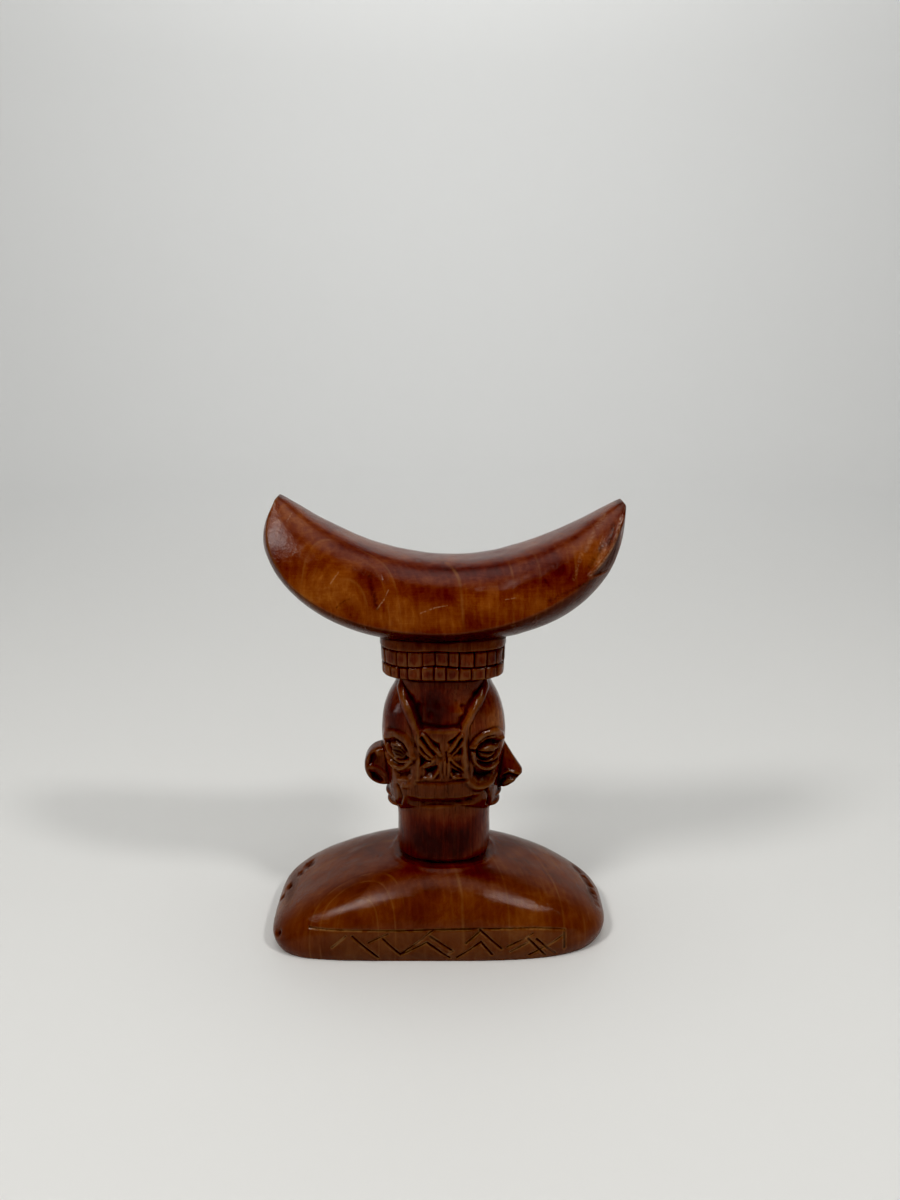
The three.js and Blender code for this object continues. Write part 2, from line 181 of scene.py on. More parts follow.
def loft(rings):
    """A closed skin over rings of equal length, as points and triangles."""
    rings = np.asarray(rings, float)
    levels, count = rings.shape[:2]
    step = np.arange(count)
    after = (step + 1) % count
    triangles = []
    for level in range(levels - 1):
        a = level * count + step
        b = level * count + after
        triangles.append(np.stack([a, b, b + count], axis=1))
        triangles.append(np.stack([a, b + count, a + count], axis=1))
    middle = levels * count
    last = (levels - 1) * count
    triangles.append(np.stack([after, step, np.full(count, middle)], axis=1))
    triangles.append(np.stack([last + step, last + after, np.full(count, middle + 1)], axis=1))
    points = np.concatenate([rings.reshape(-1, 3), rings[0].mean(0)[None], rings[-1].mean(0)[None]])
    return points, np.concatenate(triangles)


def ring_at(plan, z):
    """A flat outline set at height z, which may differ from point to point."""
    return np.column_stack([plan, np.broadcast_to(z, len(plan))])


def level_value(levels, z, column):
    """A value between the named levels, rounded a little where they meet."""
    heights = [level[0] for level in levels]
    values = [level[column] for level in levels]
    spread = np.linspace(-1.2, 1.2, 7)
    return sum(np.interp(z + shift, heights, values) for shift in spread) / len(spread)


def ellipsoid(centre, half_sizes):
    rings = []
    for height in np.linspace(-0.98, 0.98, 24):
        around = plan_ring(1, 1, 2, 48) * math.sqrt(1 - height * height)
        rings.append(ring_at(around, height))
    points, triangles = loft(rings)
    return points * half_sizes + centre, triangles


# Forms, with the same sizes as the part's solids

def dome_share(z, roundness):
    rise = np.clip((z - BASE_BULGE) / (BASE_HEIGHT - BASE_BULGE), 0, 1)
    above = (1 - rise ** roundness) ** (1 / roundness)
    below = 1 - BASE_FOOT_INSET * (1 - np.clip(z / BASE_BULGE, 0, 1)) ** 2
    return np.where(z < BASE_BULGE, below, above)


def base_outline(z, across):
    side = np.where(across < 0, BASE_LEFT_SQUARENESS, BASE_RIGHT_SQUARENESS)
    return (
        BASE_HALF_LENGTH * dome_share(z, BASE_END_ROUNDNESS),
        BASE_HALF_DEPTH * dome_share(z, BASE_FRONT_ROUNDNESS),
        mix(side, BASE_TOP_SQUARENESS, z / BASE_HEIGHT),
    )


def base_form():
    rings = []
    for rise in np.linspace(0, 1, 60):
        z = BASE_HEIGHT * math.sin(rise * math.pi / 2) * 0.999
        left = plan_ring(*base_outline(z, -1), 320)
        right = plan_ring(*base_outline(z, 1), 320)
        plan = np.where(left[:, :1] < 0, left, right)
        rings.append(ring_at(plan + [BASE_MIDDLE_X, 0], z))
    return loft(rings)


def neck_form():
    rings = []
    for z in np.linspace(NECK_LEVELS[0][0], NECK_LEVELS[-1][0], 80):
        grow = np.interp(z, *zip(*NECK_LEVELS))
        plan = plan_ring(NECK_HALF_WIDTH + grow, NECK_HALF_DEPTH + grow, NECK_SQUARENESS, 160)
        rings.append(ring_at(plan, z))
    return loft(rings)


def head_outline(z):
    return level_value(HEAD_LEVELS, z, 1), level_value(HEAD_LEVELS, z, 2), HEAD_SQUARENESS


def head_form():
    rings = []
    for z in np.linspace(HEAD_LOW, HEAD_LEVELS[-1][0], 110):
        plan = plan_ring(*head_outline(z), 220)
        share = ramp(JAW_FADE - z, 0, JAW_FADE - HEAD_LOW)
        lift = JAW_RISE * share * np.clip(np.abs(plan[:, 1]) / HEAD_LOW_DEPTH, 0, 1) ** 1.6
        rings.append(ring_at(plan, z + lift))
    return loft(rings)


def round_nose_form():
    """The left nose: a thick disc seen edge-on from the left, with a rounded rim."""
    rings = []
    for y in np.linspace(-4.7, 4.7, 25):
        share = (1 - min(abs(y / 4.75), 1) ** 3.2) ** (1 / 3.2)
        plan = plan_ring(mix(5.2, 7.5, share), mix(5.6, 7.9, share), 2.05, 80)
        rings.append(np.column_stack([plan[:, 0] - 22.3, np.full(80, y), plan[:, 1] + 66]))
    points, triangles = loft(rings)
    return points, triangles[:, ::-1]


def wedge_nose_form():
    """The right nose: a wedge, with the height, reach and half width of each level."""
    levels = [
        (57.0, 22.4, 3.4),
        (58.2, 25.2, 4.1),
        (60.2, 28, 4.7),
        (62.2, 29.9, 4.5),
        (63.6, 29.8, 4.1),
        (66, 28.3, 3.4),
        (70, 25.8, 2.7),
        (75.8, 22.3, 2.2),
    ]
    heights, reaches, widths = zip(*levels)
    back = 15
    rings = []
    for z in np.linspace(heights[0], heights[-1], 50):
        reach = np.interp(z, heights, reaches)
        plan = plan_ring((reach - back) / 2, np.interp(z, heights, widths), 2.7, 60)
        rings.append(ring_at(plan + [(reach + back) / 2, 0], z))
    return loft(rings)


def collar_form():
    rings = []
    levels = [
        (COLLAR_BOTTOM - 1.6, -4.6),
        (COLLAR_BOTTOM, -0.5),
        (COLLAR_BOTTOM + 0.5, 0),
        (COLLAR_ROWS_TOP - 0.5, 0.1),
        (COLLAR_ROWS_TOP + 0.2, 0.5),
        (COLLAR_TOP + 2, 0.2),
    ]
    heights, grows = zip(*levels)
    for z in np.linspace(heights[0], heights[-1], 90):
        grow = np.interp(z, heights, grows)
        plan = plan_ring(COLLAR_HALF_WIDTH + grow, COLLAR_HALF_DEPTH + grow, COLLAR_SQUARENESS, 240)
        rings.append(ring_at(plan, z))
    return loft(rings)


def top_line(t):
    """The saddle's line from end to end, at t from -1 to 1."""
    x = mix(LEFT_END, RIGHT_END, (t + 1) / 2)
    slope = SADDLE_LEFT_SLOPE if x < SADDLE_X else SADDLE_RIGHT_SLOPE
    radius = SADDLE_ROUNDNESS * slope
    rise = slope * (math.hypot(radius, x - SADDLE_X) - radius)
    return x, SADDLE_HEIGHT + rise - HORN_ROUND_OVER * abs(t) ** 24


def swept_line(t, line):
    """A line under the top line, from one horn's cap down to its height in the middle and up again."""
    height, left, right = line
    reach, squareness = left if t < 0 else right
    end_x, end_z = top_line(-1 if t < 0 else 1)
    cap_x, cap_z = abs(end_x) + HORN_CAP, end_z - HORN_CAP_DROP
    angle = math.radians(90 * t)
    x = reach * math.copysign(abs(math.sin(angle)) ** (2 / squareness), t)
    z = cap_z - (cap_z - height) * max(math.cos(angle), 0) ** (2 / squareness)
    lean = max((z - LEAN_HEIGHT) / (cap_z - LEAN_HEIGHT), 0) ** 2
    return x - math.copysign(1, t) * (reach - cap_x) * lean, z


def crescent_ring(t):
    top_x, top_z = top_line(t)
    arris_x, arris_z = swept_line(t, ARRIS)
    keel_x, keel_z = swept_line(t, KEEL)
    fullness = (1 - abs(t) ** 4) ** 1.3
    half_depth = mix(TIP_HALF_DEPTH, ARRIS_HALF_DEPTH, fullness)
    keel_z -= TIP_THICKNESS * (1 - fullness)
    angle = np.radians(np.linspace(90, 0, 36))
    out = np.cos(angle) ** (2 / TOP_SQUARENESS)
    up = np.sin(angle) ** (2 / TOP_SQUARENESS)
    upper = np.column_stack([
        mix(arris_x, top_x, up),
        half_depth * out * (1 - TOP_INSET * up),
        mix(arris_z, top_z, up),
    ])
    angle = np.radians(np.linspace(2, 90, 26))
    out = np.clip(np.cos(angle), 0, 1) ** (2 / UNDER_SQUARENESS)
    down = np.sin(angle) ** (2 / UNDER_SQUARENESS)
    lower = np.column_stack([
        mix(arris_x, keel_x, down),
        half_depth * out,
        mix(arris_z, keel_z, down),
    ])
    half = np.concatenate([upper, lower])
    return np.concatenate([half * [1, -1, 1], half[1:-1][::-1]])


def crescent_form():
    rings = []
    for even in np.linspace(-1, 1, 150):
        rings.append(crescent_ring(math.sin(math.radians(90 * even)) * 0.45 + even * 0.55))
    return loft(rings)


def lip_forms(across):
    return [
        ellipsoid((across * 17.5, 0, 55.3), (4.5, 7.2, 1.7)),
        ellipsoid((across * 17.1, 0, 51.7), (4.3, 6.6, 1.9)),
    ]


# Meshes as arrays

def arrays_to_mesh(name, points, faces):
    """A mesh from points and faces that all have the same number of corners."""
    mesh = bpy.data.meshes.new(name)
    corners = faces.shape[1]
    mesh.vertices.add(len(points))
    mesh.vertices.foreach_set("co", points.astype(np.float32).ravel())
    mesh.loops.add(faces.size)
    mesh.loops.foreach_set("vertex_index", faces.astype(np.int32).ravel())
    mesh.polygons.add(len(faces))
    mesh.polygons.foreach_set("loop_start", np.arange(0, faces.size, corners, dtype=np.int32))
    mesh.update(calc_edges=True)
    return mesh


def read(items, name, width, kind):
    """One property of every item, as an array of a width."""
    values = np.empty(len(items) * width, kind)
    items.foreach_get(name, values)
    return values.reshape(-1, width)


def mesh_to_arrays(mesh):
    mesh.calc_loop_triangles()
    points = read(mesh.vertices, "co", 3, np.float32).astype(float)
    triangles = read(mesh.loop_triangles, "vertices", 3, np.int32)
    return points, triangles, read(mesh.edges, "vertices", 2, np.int32)


def add_to_scene(name, data):
    thing = bpy.data.objects.new(name, data)
    bpy.context.scene.collection.objects.link(thing)
    return thing


def add_fields(mesh, fields):
    """Give a mesh one number per point for each named field."""
    for name, values in fields.items():
        mesh.attributes.new(name, "FLOAT", "POINT").data.foreach_set("value", values.astype(np.float32))


def with_modifier(points, faces, fields, kind, **settings):
    """The mesh as a modifier leaves it: points, triangles, edges and fields."""
    mesh = arrays_to_mesh("work", points, faces)
    add_fields(mesh, fields)
    piece = add_to_scene("work", mesh)
    modifier = piece.modifiers.new("work", kind)
    for setting, value in settings.items():
        setattr(modifier, setting, value)
    changed = piece.evaluated_get(bpy.context.evaluated_depsgraph_get())
    result = changed.to_mesh()
    kept = {name: read(result.attributes[name].data, "value", 1, np.float32)[:, 0] for name in fields}
    arrays = mesh_to_arrays(result)
    changed.to_mesh_clear()
    bpy.data.objects.remove(piece)
    bpy.data.meshes.remove(mesh)
    return *arrays, kept


def vertex_normals(points, triangles):
    a, b, c = (points[corners] for corners in triangles.T)
    face = np.cross(b - a, c - a)
    total = np.empty_like(points)
    for axis in range(3):
        weights = face[:, axis]
        total[:, axis] = sum(np.bincount(corners, weights, len(points)) for corners in triangles.T)
    return total / (np.linalg.norm(total, axis=1)[:, None] + 1e-12)


def neighbour_mean(points, edges):
    """The mean place of each point's neighbours."""
    count = len(points)
    degree = np.bincount(edges.ravel(), minlength=count)
    result = np.empty_like(points)
    for axis in range(3):
        column = points[:, axis]
        gathered = np.bincount(edges[:, 0], column[edges[:, 1]], count)
        gathered += np.bincount(edges[:, 1], column[edges[:, 0]], count)
        result[:, axis] = gathered / np.maximum(degree, 1)
    return result


def relax(points, edges, rounds, strength=0.5, back=0.52):
    """Smooth without shrinking: each round moves in and then a little more back out."""
    for _ in range(rounds):
        points = points + strength * (neighbour_mean(points, edges) - points)
        points = points - back * (neighbour_mean(points, edges) - points)
    return points


# Lines and areas on a surface, in two coordinates

def curve(path, steps=6):
    """A smooth line through the bends of a path."""
    ends = [path[0], *path, path[-1]]
    line = []
    for before, start, end, after in zip(ends, ends[1:], ends[2:], ends[3:]):
        for share in np.linspace(0, 1, steps, endpoint=False):
            line.append(tuple(
                0.5 * (2 * q + (r - p) * share + (2 * p - 5 * q + 4 * r - s) * share ** 2
                       + (3 * q - p - 3 * r + s) * share ** 3)
                for p, q, r, s in zip(before, start, end, after)
            ))
    return [*line, tuple(path[-1])]


def line_distance(u, v, path):
    best = np.full(u.shape, 1e9)
    for (u0, v0), (u1, v1) in zip(path, path[1:]):
        du, dv = u1 - u0, v1 - v0
        share = np.clip(((u - u0) * du + (v - v0) * dv) / (du * du + dv * dv + 1e-9), 0, 1)
        best = np.minimum(best, np.hypot(u - u0 - share * du, v - v0 - share * dv))
    return best


def inside_distance(u, v, outline):
    """The distance to an outline's edge, above zero inside it."""
    closed = [*outline, outline[0]]
    inside = np.zeros(u.shape, bool)
    for (u0, v0), (u1, v1) in zip(closed, closed[1:]):
        spans = (v0 > v) != (v1 > v)
        inside ^= spans & (u < u0 + (v - v0) * (u1 - u0) / (v1 - v0 + 1e-9))
    distance = line_distance(u, v, closed)
    return np.where(inside, distance, -distance)


def ridge(u, v, path, half_width, height):
    """A rounded ridge along a path, or a V-shaped groove where the height is below zero."""
    near = np.clip(1 - line_distance(u, v, path) / half_width, 0, 1)
    if height < 0:
        return height * near
    return height * (1 - (1 - near) ** 2)


def bent(u, v, path, half_width, height):
    """A ridge or groove whose path bends smoothly."""
    return ridge(u, v, curve(path), half_width, height)


def jaw_trough(u, v, path, half_width, depth):
    """A groove with a rounded bottom and soft sides, which fades toward the two faces."""
    near = np.clip(1 - (line_distance(u, v, path) / half_width) ** 2, 0, 1)
    return -depth * near ** 1.5 * ramp(np.abs(u), 15, 10)


def hollow(u, v, outline, depth, slope):
    """A hollow whose sides fall at a slope from its edge, like a chip cut out with a knife."""
    return -np.minimum(depth, slope * np.clip(inside_distance(u, v, outline), 0, None))


def swell(u, v, outline, height, width):
    """An area that rises over a width from its edge and is round on top."""
    share = np.clip(inside_distance(u, v, outline) / width, 0, 1)
    return height * np.sqrt(1 - (1 - share) ** 2)


def cut(relief, u, v, cuts):
    """Add a list of cuts to a relief. Each is a form, its path or outline, and that form's two sizes."""
    for form, path, first, second in cuts:
        relief += form(u, v, path, first, second)
    return relief


# The head's carving, as x and z on the front. Heights are outward from the head's round form.

PANEL = [
    (-15.6, 102.6), (-13.6, 96.2), (-11.2, 90.6), (-9, 85.2), (-8, 80),
    (7, 80), (7.4, 86.6), (10.2, 91.8), (13, 96.6), (16, 102.6),
]
PANEL_DEPTH = 2.2
CROSS_PLACE = [(-8.6, 85), (7.6, 85), (7.8, 66), (-9, 66)]
CROSS_SINK = 0.35
FRAMES = [
    (bent, [
        (-16.2, 102), (-14.4, 96), (-12, 90.4), (-9.9, 85.4), (-8.7, 81.4), (-7.2, 78), (-5.2, 75),
    ], 1.6, 1),
    (bent, [
        (16.6, 102), (13.8, 96.4), (10.4, 91.8), (8.3, 87), (7.6, 82), (7.7, 76),
        (7.9, 70), (9, 66.2), (11.2, 63.2), (14.2, 61.9), (17, 62), (19.4, 63.8),
    ], 1.5, 1),
]
HEAD_CUTS = [
    # The left frame's foot
    (bent, [(-8.8, 73), (-8.9, 69.4), (-9.6, 66), (-11.6, 63.6), (-14.4, 62.4)], 1.3, 0.35),
    # Left socket and brow, bean with three lines across it, lid and lower lid
    (hollow, [
        (-21.8, 78.4), (-17.6, 81), (-14, 80), (-12.2, 77),
        (-11.6, 73.4), (-13.8, 69.6), (-17.4, 67.4), (-21, 70),
    ], 1.6, 0.9),
    (bent, [(-21.6, 79.4), (-19, 82), (-16.3, 82.4), (-13.8, 81), (-12.4, 78.2), (-11.8, 74.8)], 1.9, 0.7),
    (swell, [
        (-20, 77.4), (-17.6, 79.3), (-15.2, 78.2), (-12.4, 74.9), (-15.1, 72.6), (-17.8, 72.2), (-19.6, 74),
    ], 1.5, 1.9),
    *[
        (ridge, [(-19.2, 76 + up), (-16, 76.2 + up), (-13.4, 74.6 + up * 0.4)], 0.45, -0.45)
        for up in (0.9, -0.5, -1.7)
    ],
    (bent, [(-21, 76.3), (-20.2, 73.4), (-18.2, 71.3), (-15.1, 71.6), (-12, 73.7)], 0.7, 0.8),
    (bent, [(-21.4, 72.9), (-19.5, 69.4), (-17, 68.7), (-14.4, 70), (-11.8, 72.7)], 0.85, 0.8),
    # Right socket and brow, upper lid, bean and slit, lid and lower lid
    (hollow, [
        (10.6, 77), (12.6, 80.6), (16.4, 82), (20.6, 80.6), (21.4, 74),
        (20, 70), (16.6, 68), (12.8, 70), (10.9, 73.6),
    ], 1.6, 0.9),
    (bent, [(10.8, 78.6), (12.6, 81.4), (16.2, 82.8), (19.2, 82.4), (21.8, 79.2)], 1.4, 0.8),
    (bent, [(11.4, 78.1), (14.2, 79.6), (17.6, 80.4), (20.8, 79.2)], 0.9, 0.8),
    (swell, [
        (11.9, 76.6), (14.4, 77.7), (17.6, 78.3), (20.6, 77), (19.6, 73.6), (16.4, 72.5), (13.6, 73.8),
    ], 1.9, 2),
    (bent, [(12.4, 76.2), (16.3, 75), (20, 74.6)], 0.6, -1.1),
    (bent, [(11.5, 76.2), (13.4, 72.9), (16.3, 71.2), (19, 71.4), (20.6, 74)], 0.65, 0.8),
    (bent, [(10.9, 76), (12, 72.2), (14.2, 69.7), (17, 68.7), (19.6, 69.6)], 1, 1),
    # Cheeks, right and left
    (hollow, [
        (10.8, 71.4), (12.6, 69.4), (16.4, 67.6), (19.4, 68.2),
        (18.6, 65.6), (16.6, 63.6), (12.6, 64.4), (10.4, 67),
    ], 1.6, 0.9),
    (hollow, [(-18.6, 67.6), (-14.6, 69.2), (-11.2, 70.8), (-10.9, 67.4), (-12.8, 65), (-17, 64)], 1, 0.6),
    # The jaw's groove and top, and the ends of the two mouths
    (jaw_trough, [(-13, 56.9), (-9.2, 56.5), (-2, 56.9), (3.9, 57.1), (10, 57.3), (14.4, 57.6)], 2.2, 1.1),
    (bent, [(-9.4, 65), (-4, 65.5), (1, 65.6), (4, 65.8), (8.4, 66.2)], 0.8, -0.4),
    (bent, [(-16.8, 61.6), (-15.8, 59), (-15.6, 56), (-16, 53.4)], 1, -0.7),
    (bent, [(15.8, 60), (16.8, 58), (17, 55.4), (16.6, 53)], 1, -0.7),
]
# The front's cross of four ridged leaves, each a little different
CROSS = [
    # Upper left
    (hollow, [(-7.6, 84.5), (-1.2, 80.6), (-0.6, 76.6), (-3, 77.8)], 1.5, 1.1),
    (ridge, [(-7.3, 83.4), (-4.4, 79.9), (-1, 76.1)], 0.75, 0.9),
    (ridge, [(-8, 82.2), (-5.6, 78.9), (-3.2, 76.2)], 0.7, -1),
    (ridge, [(-8.2, 80.6), (-6.2, 77.9), (-4, 75.6)], 0.7, 0.5),
    (ridge, [(-8.3, 79), (-6.6, 76.8), (-4.6, 74.9)], 0.6, -0.7),
    (ridge, [(-8.5, 77.4), (-6.8, 75.3), (-5, 74)], 0.7, 0.5),
    # Lower left
    (hollow, [(-9, 75.8), (-6.4, 74), (-3.9, 74.2), (-4.2, 73), (-6.2, 72.6), (-8.6, 70.4)], 1.5, 1.6),
    (ridge, [(-3.4, 74), (-4.6, 72.6), (-6.8, 71.2)], 1.1, 0.5),
    (hollow, [(-7.2, 70.2), (-1.7, 72.4), (-1.6, 69.8), (-3.9, 67.4), (-6.8, 67)], 1.5, 1),
    (ridge, [(-7, 66.4), (-4, 66.7), (-2, 69.2)], 0.7, 0.45),
    # Middle
    (ridge, [(1.1, 77.2), (1.2, 75.4), (1.4, 73.2)], 0.55, -0.7),
    *[(ridge, [(across, 73.6), (across * 0.8, 67)], 0.6, 0.3) for across in (-0.9, 0.7, 2.2)],
    # Upper right
    (hollow, [(1.3, 80.9), (6.9, 84.5), (5.4, 82.4), (2.8, 78.4)], 1.5, 1.2),
    (ridge, [(6.7, 83.6), (4.7, 80.6), (2.4, 77.4)], 0.75, 0.8),
    (ridge, [(6.9, 81.8), (5.2, 79), (3, 76.4)], 0.7, -0.8),
    (hollow, [(7.3, 79.8), (3.6, 76.2), (3.2, 74.8), (7.4, 75.4)], 0.9, 0.8),
    # Lower right
    (ridge, [(2.4, 74.4), (4.4, 72.2), (7.4, 69.9)], 0.8, 0.6),
    (ridge, [(2.8, 73.2), (4.6, 71), (7.5, 68.9)], 0.6, -0.8),
    (hollow, [(2.6, 71.6), (7.4, 68.4), (3.8, 67.6), (2.9, 69.2)], 1.5, 1.2),
    (ridge, [(3.2, 68.6), (4, 67.1), (7.4, 66.8)], 0.6, 0.5),
]
# The back's plainer cross: four leaf-shaped hollows with a ridge down each
PLAIN_LEAF = ((1, 1), (3.4, 6.6), (7.2, 8.6), (6.6, 4.4))
PLAIN_CROSS = []
for across in (-1, 1):
    for up in (-1, 1):
        leaf = [(0.6 + across * x, 75.8 + up * z) for x, z in PLAIN_LEAF]
        PLAIN_CROSS.append((hollow, leaf, 1.4, 1.1))
        PLAIN_CROSS.append((ridge, [leaf[0], leaf[2]], 0.7, 0.7))


def head_relief(u, v, front):
    """How far the head's carving stands out or in, in millimetres."""
    panel_sides = ramp(inside_distance(u, v, PANEL), 0, 1.2)
    relief = -PANEL_DEPTH * ramp(v, 102.4, 94) * ramp(v, 84.1, 86.6) * panel_sides
    cross = cut(np.zeros(u.shape), u, v, CROSS if front else PLAIN_CROSS)
    relief += (cross - CROSS_SINK) * np.clip(inside_distance(u, v, CROSS_PLACE) / 0.8, 0, 1)
    relief += mix(0.55, 0.8, ramp(v, 100, 86)) * cut(np.zeros(u.shape), u, v, FRAMES)
    return cut(relief, u, v, HEAD_CUTS)


def carve_head(points):
    """Move the head's front and back skin by its carving, along the level direction it faces."""
    x, y, z = points.T
    half_width, half_depth, squareness = head_outline(z)
    near = ramp(plan_reach(x, y, half_width, half_depth, squareness), 0.7, 0.8)
    near *= ramp(np.abs(y), 5, 7) * ramp(z, 51, 53) * ramp(z, 104, 103)
    power = squareness - 1
    toward_x = signed_power(x / half_width, power) / half_width
    toward_y = signed_power(y / half_depth, power) / half_depth
    length = np.hypot(toward_x, toward_y) + 1e-9
    for side in (-1, 1):
        chosen = (near > 0) & (y * side > 0)
        u = x[chosen] + 0.3 * noise(points[chosen], 3.2, 31)
        v = z[chosen] + 0.3 * noise(points[chosen], 3.2, 32)
        relief = head_relief(u, v, side < 0) * (1 + 0.2 * noise(points[chosen], 2.4, 33))
        tool_marks = 0.09 * noise(points[chosen], (1.1, 1.1, 1.8), 34) * ramp(v, 84, 80)
        amount = (relief + tool_marks) * near[chosen]
        points[chosen, 0] += amount * toward_x[chosen] / length[chosen]
        points[chosen, 1] += amount * toward_y[chosen] / length[chosen]


LEFT_NOSE = [
    (hollow, [(-27.6, 71.2), (-25, 72.8), (-24.6, 70), (-26.2, 67.4), (-28.1, 66.4)], 1.3, 0.8),
    (hollow, [(-28.2, 64.8), (-25, 63.9), (-21.8, 60.4), (-23.7, 59), (-27, 61.2)], 1.5, 0.9),
    (ridge, [(-28.4, 66), (-25, 65.8), (-21.6, 63)], 1.1, 0.3),
]
RIGHT_NOSE = [
    (swell, [(21.6, 60.2), (23.6, 61.9), (27, 61.5), (27.4, 59.8), (24.6, 57.6), (21.8, 57.6)], 1.4, 1.7),
    (ridge, [(21.4, 62.8), (24.3, 64.2), (27, 63.4), (29.4, 62.2)], 0.7, 0.45),
    (ridge, [(21.6, 62), (24.3, 63.1), (27.6, 61.9)], 0.6, -0.5),
]


def carve_noses(points):
    """Hollows and rims in the flanks of the two noses."""
    x, y, z = points.T
    flank = ramp(np.abs(y), 2.2, 3.6) * ramp(np.abs(y), 6, 5)
    left = flank * ramp(x, -20.6, -21.6) * cut(np.zeros(x.shape), x, z, LEFT_NOSE)
    right = flank * ramp(x, 21.4, 22.4) * cut(np.zeros(x.shape), x, z, RIGHT_NOSE)
    points[:, 1] += np.sign(y) * (left + right)


# Collar

def collar_table():
    """The collar's outline as angle and distance along it, from the back round past the left."""
    plan = plan_ring(COLLAR_HALF_WIDTH, COLLAR_HALF_DEPTH, COLLAR_SQUARENESS, 1440)
    angle = np.arctan2(plan[:, 1], plan[:, 0]) % (2 * math.pi)
    order = np.argsort(angle)
    plan = plan[order]
    along = np.concatenate([[0], np.cumsum(np.linalg.norm(np.diff(plan, axis=0), axis=1))])
    total = along[-1] + np.linalg.norm(plan[0] - plan[-1])
    return angle[order], along, total


def groove_places(front_x, seed):
    """Where a row's upright grooves lie along the outline: as seen in front, even elsewhere."""
    angles, along, total = collar_table()
    front_y = -plan_depth(np.array(front_x), COLLAR_HALF_WIDTH, COLLAR_HALF_DEPTH, COLLAR_SQUARENESS)
    places = np.interp(np.arctan2(front_y, front_x) % (2 * math.pi), angles, along)
    first, last = places.min(), places.max()
    gap = total - (last - first)
    count = round(gap / 4.9)
    random = np.random.default_rng(seed)
    rest = last + gap * (np.arange(1, count) + random.uniform(-0.16, 0.16, count - 1)) / count
    return np.concatenate([places, rest % total]), total


UPPER_GROOVES = [-20.4, -16.3, -12.5, -7.4, -2.7, 1.9, 5.9, 11.2, 15.6, 19]
LOWER_GROOVES = [-18.6, -15.8, -12.8, -7.9, -3.2, 1, 5.9, 10.3, 15.2, 19.4]


def carve_collar(points):
    x, y, z = points.T
    angles, along, total = collar_table()
    place = np.interp(np.arctan2(y, x) % (2 * math.pi), angles, along)
    reach = plan_reach(x, y, COLLAR_HALF_WIDTH, COLLAR_HALF_DEPTH, COLLAR_SQUARENESS)
    near = ramp(reach, 0.6, 0.75) * ramp(z, COLLAR_BOTTOM - 1.2, COLLAR_BOTTOM) * ramp(z, 122, 120)
    wave = 0.35 * np.sin(place / 7) + 0.2 * np.sin(place / 3.1 + 1)
    split = COLLAR_SPLIT + wave
    rows_top = COLLAR_ROWS_TOP + 0.5 * wave
    amount = -0.95 * np.clip(1 - np.abs(z - split) / 0.55, 0, 1)
    amount += -0.8 * np.clip(1 - np.abs(z - rows_top) / 0.5, 0, 1)
    for row, front_x in enumerate((LOWER_GROOVES, UPPER_GROOVES)):
        grooves, total = groove_places(front_x, 5 + row)
        grooves = np.sort(grooves)
        inside = (z > split) & (z < rows_top) if row else z <= split
        index = np.searchsorted(grooves, place) % len(grooves)
        offset = place[:, None] - grooves[None]
        offset = np.abs((offset + total / 2) % total - total / 2).min(axis=1)
        lift = lattice((index, row, 0), 9) - 0.5
        depth = 0.45 + 0.5 * lattice((index, row + 2, 0), 9)
        groove = depth * np.clip(1 - offset / 0.5, 0, 1) + 0.12 * np.clip(1 - offset / 1.4, 0, 1) ** 2
        amount += np.where(inside, 0.4 * lift - groove, 0)
    scale = near * amount / np.hypot(x, y)
    points[:, 0] += x * scale
    points[:, 1] += y * scale


# Base

BAND_LINE = [(-49.1, 12.5), (-30.9, 13), (-17.3, 13.1), (7.3, 13.6), (28.5, 13.4), (38, 12.3), (44.7, 10.8)]
BAND_TOP_AT = [(-63, 11), (-49, 12.5), (-17, 13.1), (7, 13.6), *BAND_LINE[4:], (62, 8.4)]
# Each stroke's depth, and its start and end
FRONT_STROKES = [
    (0.7, [(-33.1, 10.6), (-23.8, 1.9)]),
    (0.4, [(-27.4, 8.3), (-20, 11.8)]),
    (0.3, [(-40.7, 6), (-35.5, 10.7)]),
    (0.65, [(-22, 9.9), (-15.7, 3.2)]),
    (0.6, [(-15.7, 3.2), (-3.8, 13.1)]),
    (0.55, [(-15.3, 3.2), (-6.2, 8.4)]),
    (0.65, [(-5.8, 8.4), (2.2, 1.9)]),
    (0.6, [(-4.8, 10.8), (2.9, 5.3)]),
    (0.35, [(1.6, 3.2), (3.6, 4.9)]),
    (0.6, [(5, 1.9), (13.4, 8.3)]),
    (0.5, [(8.3, 8), (13.7, 13)]),
    (0.65, [(13.3, 13.3), (21.2, 5.8)]),
    (0.55, [(13.7, 8.7), (17.8, 3.3)]),
    (0.5, [(23.2, 6.2), (32.7, 11.1)]),
    (0.45, [(24.6, 4.3), (31.3, 8)]),
    (0.6, [(31, 9.4), (37.7, 1.4)]),
    (0.6, [(34.1, 8.8), (41.2, 1.8)]),
    (0.5, [(31.5, 2.3), (44.1, 9)]),
    (0.3, [(44.5, 10.2), (44.6, 3.8)]),
]
STROKE_HALF_WIDTH = 0.75
# The back's plain zigzag
BACK_STROKES = [(0.6, [(peak - 9, 2.4), (peak, 11.6), (peak + 9, 2.4)]) for peak in (-36, -18, 0, 18, 36)]
BAND_SINK = 0.2


def below_band_top(x, z, width):
    """One in the band low on the base, falling to nothing over a width at its top."""
    return ramp(np.interp(x, *zip(*BAND_TOP_AT)) - z, 0, width)


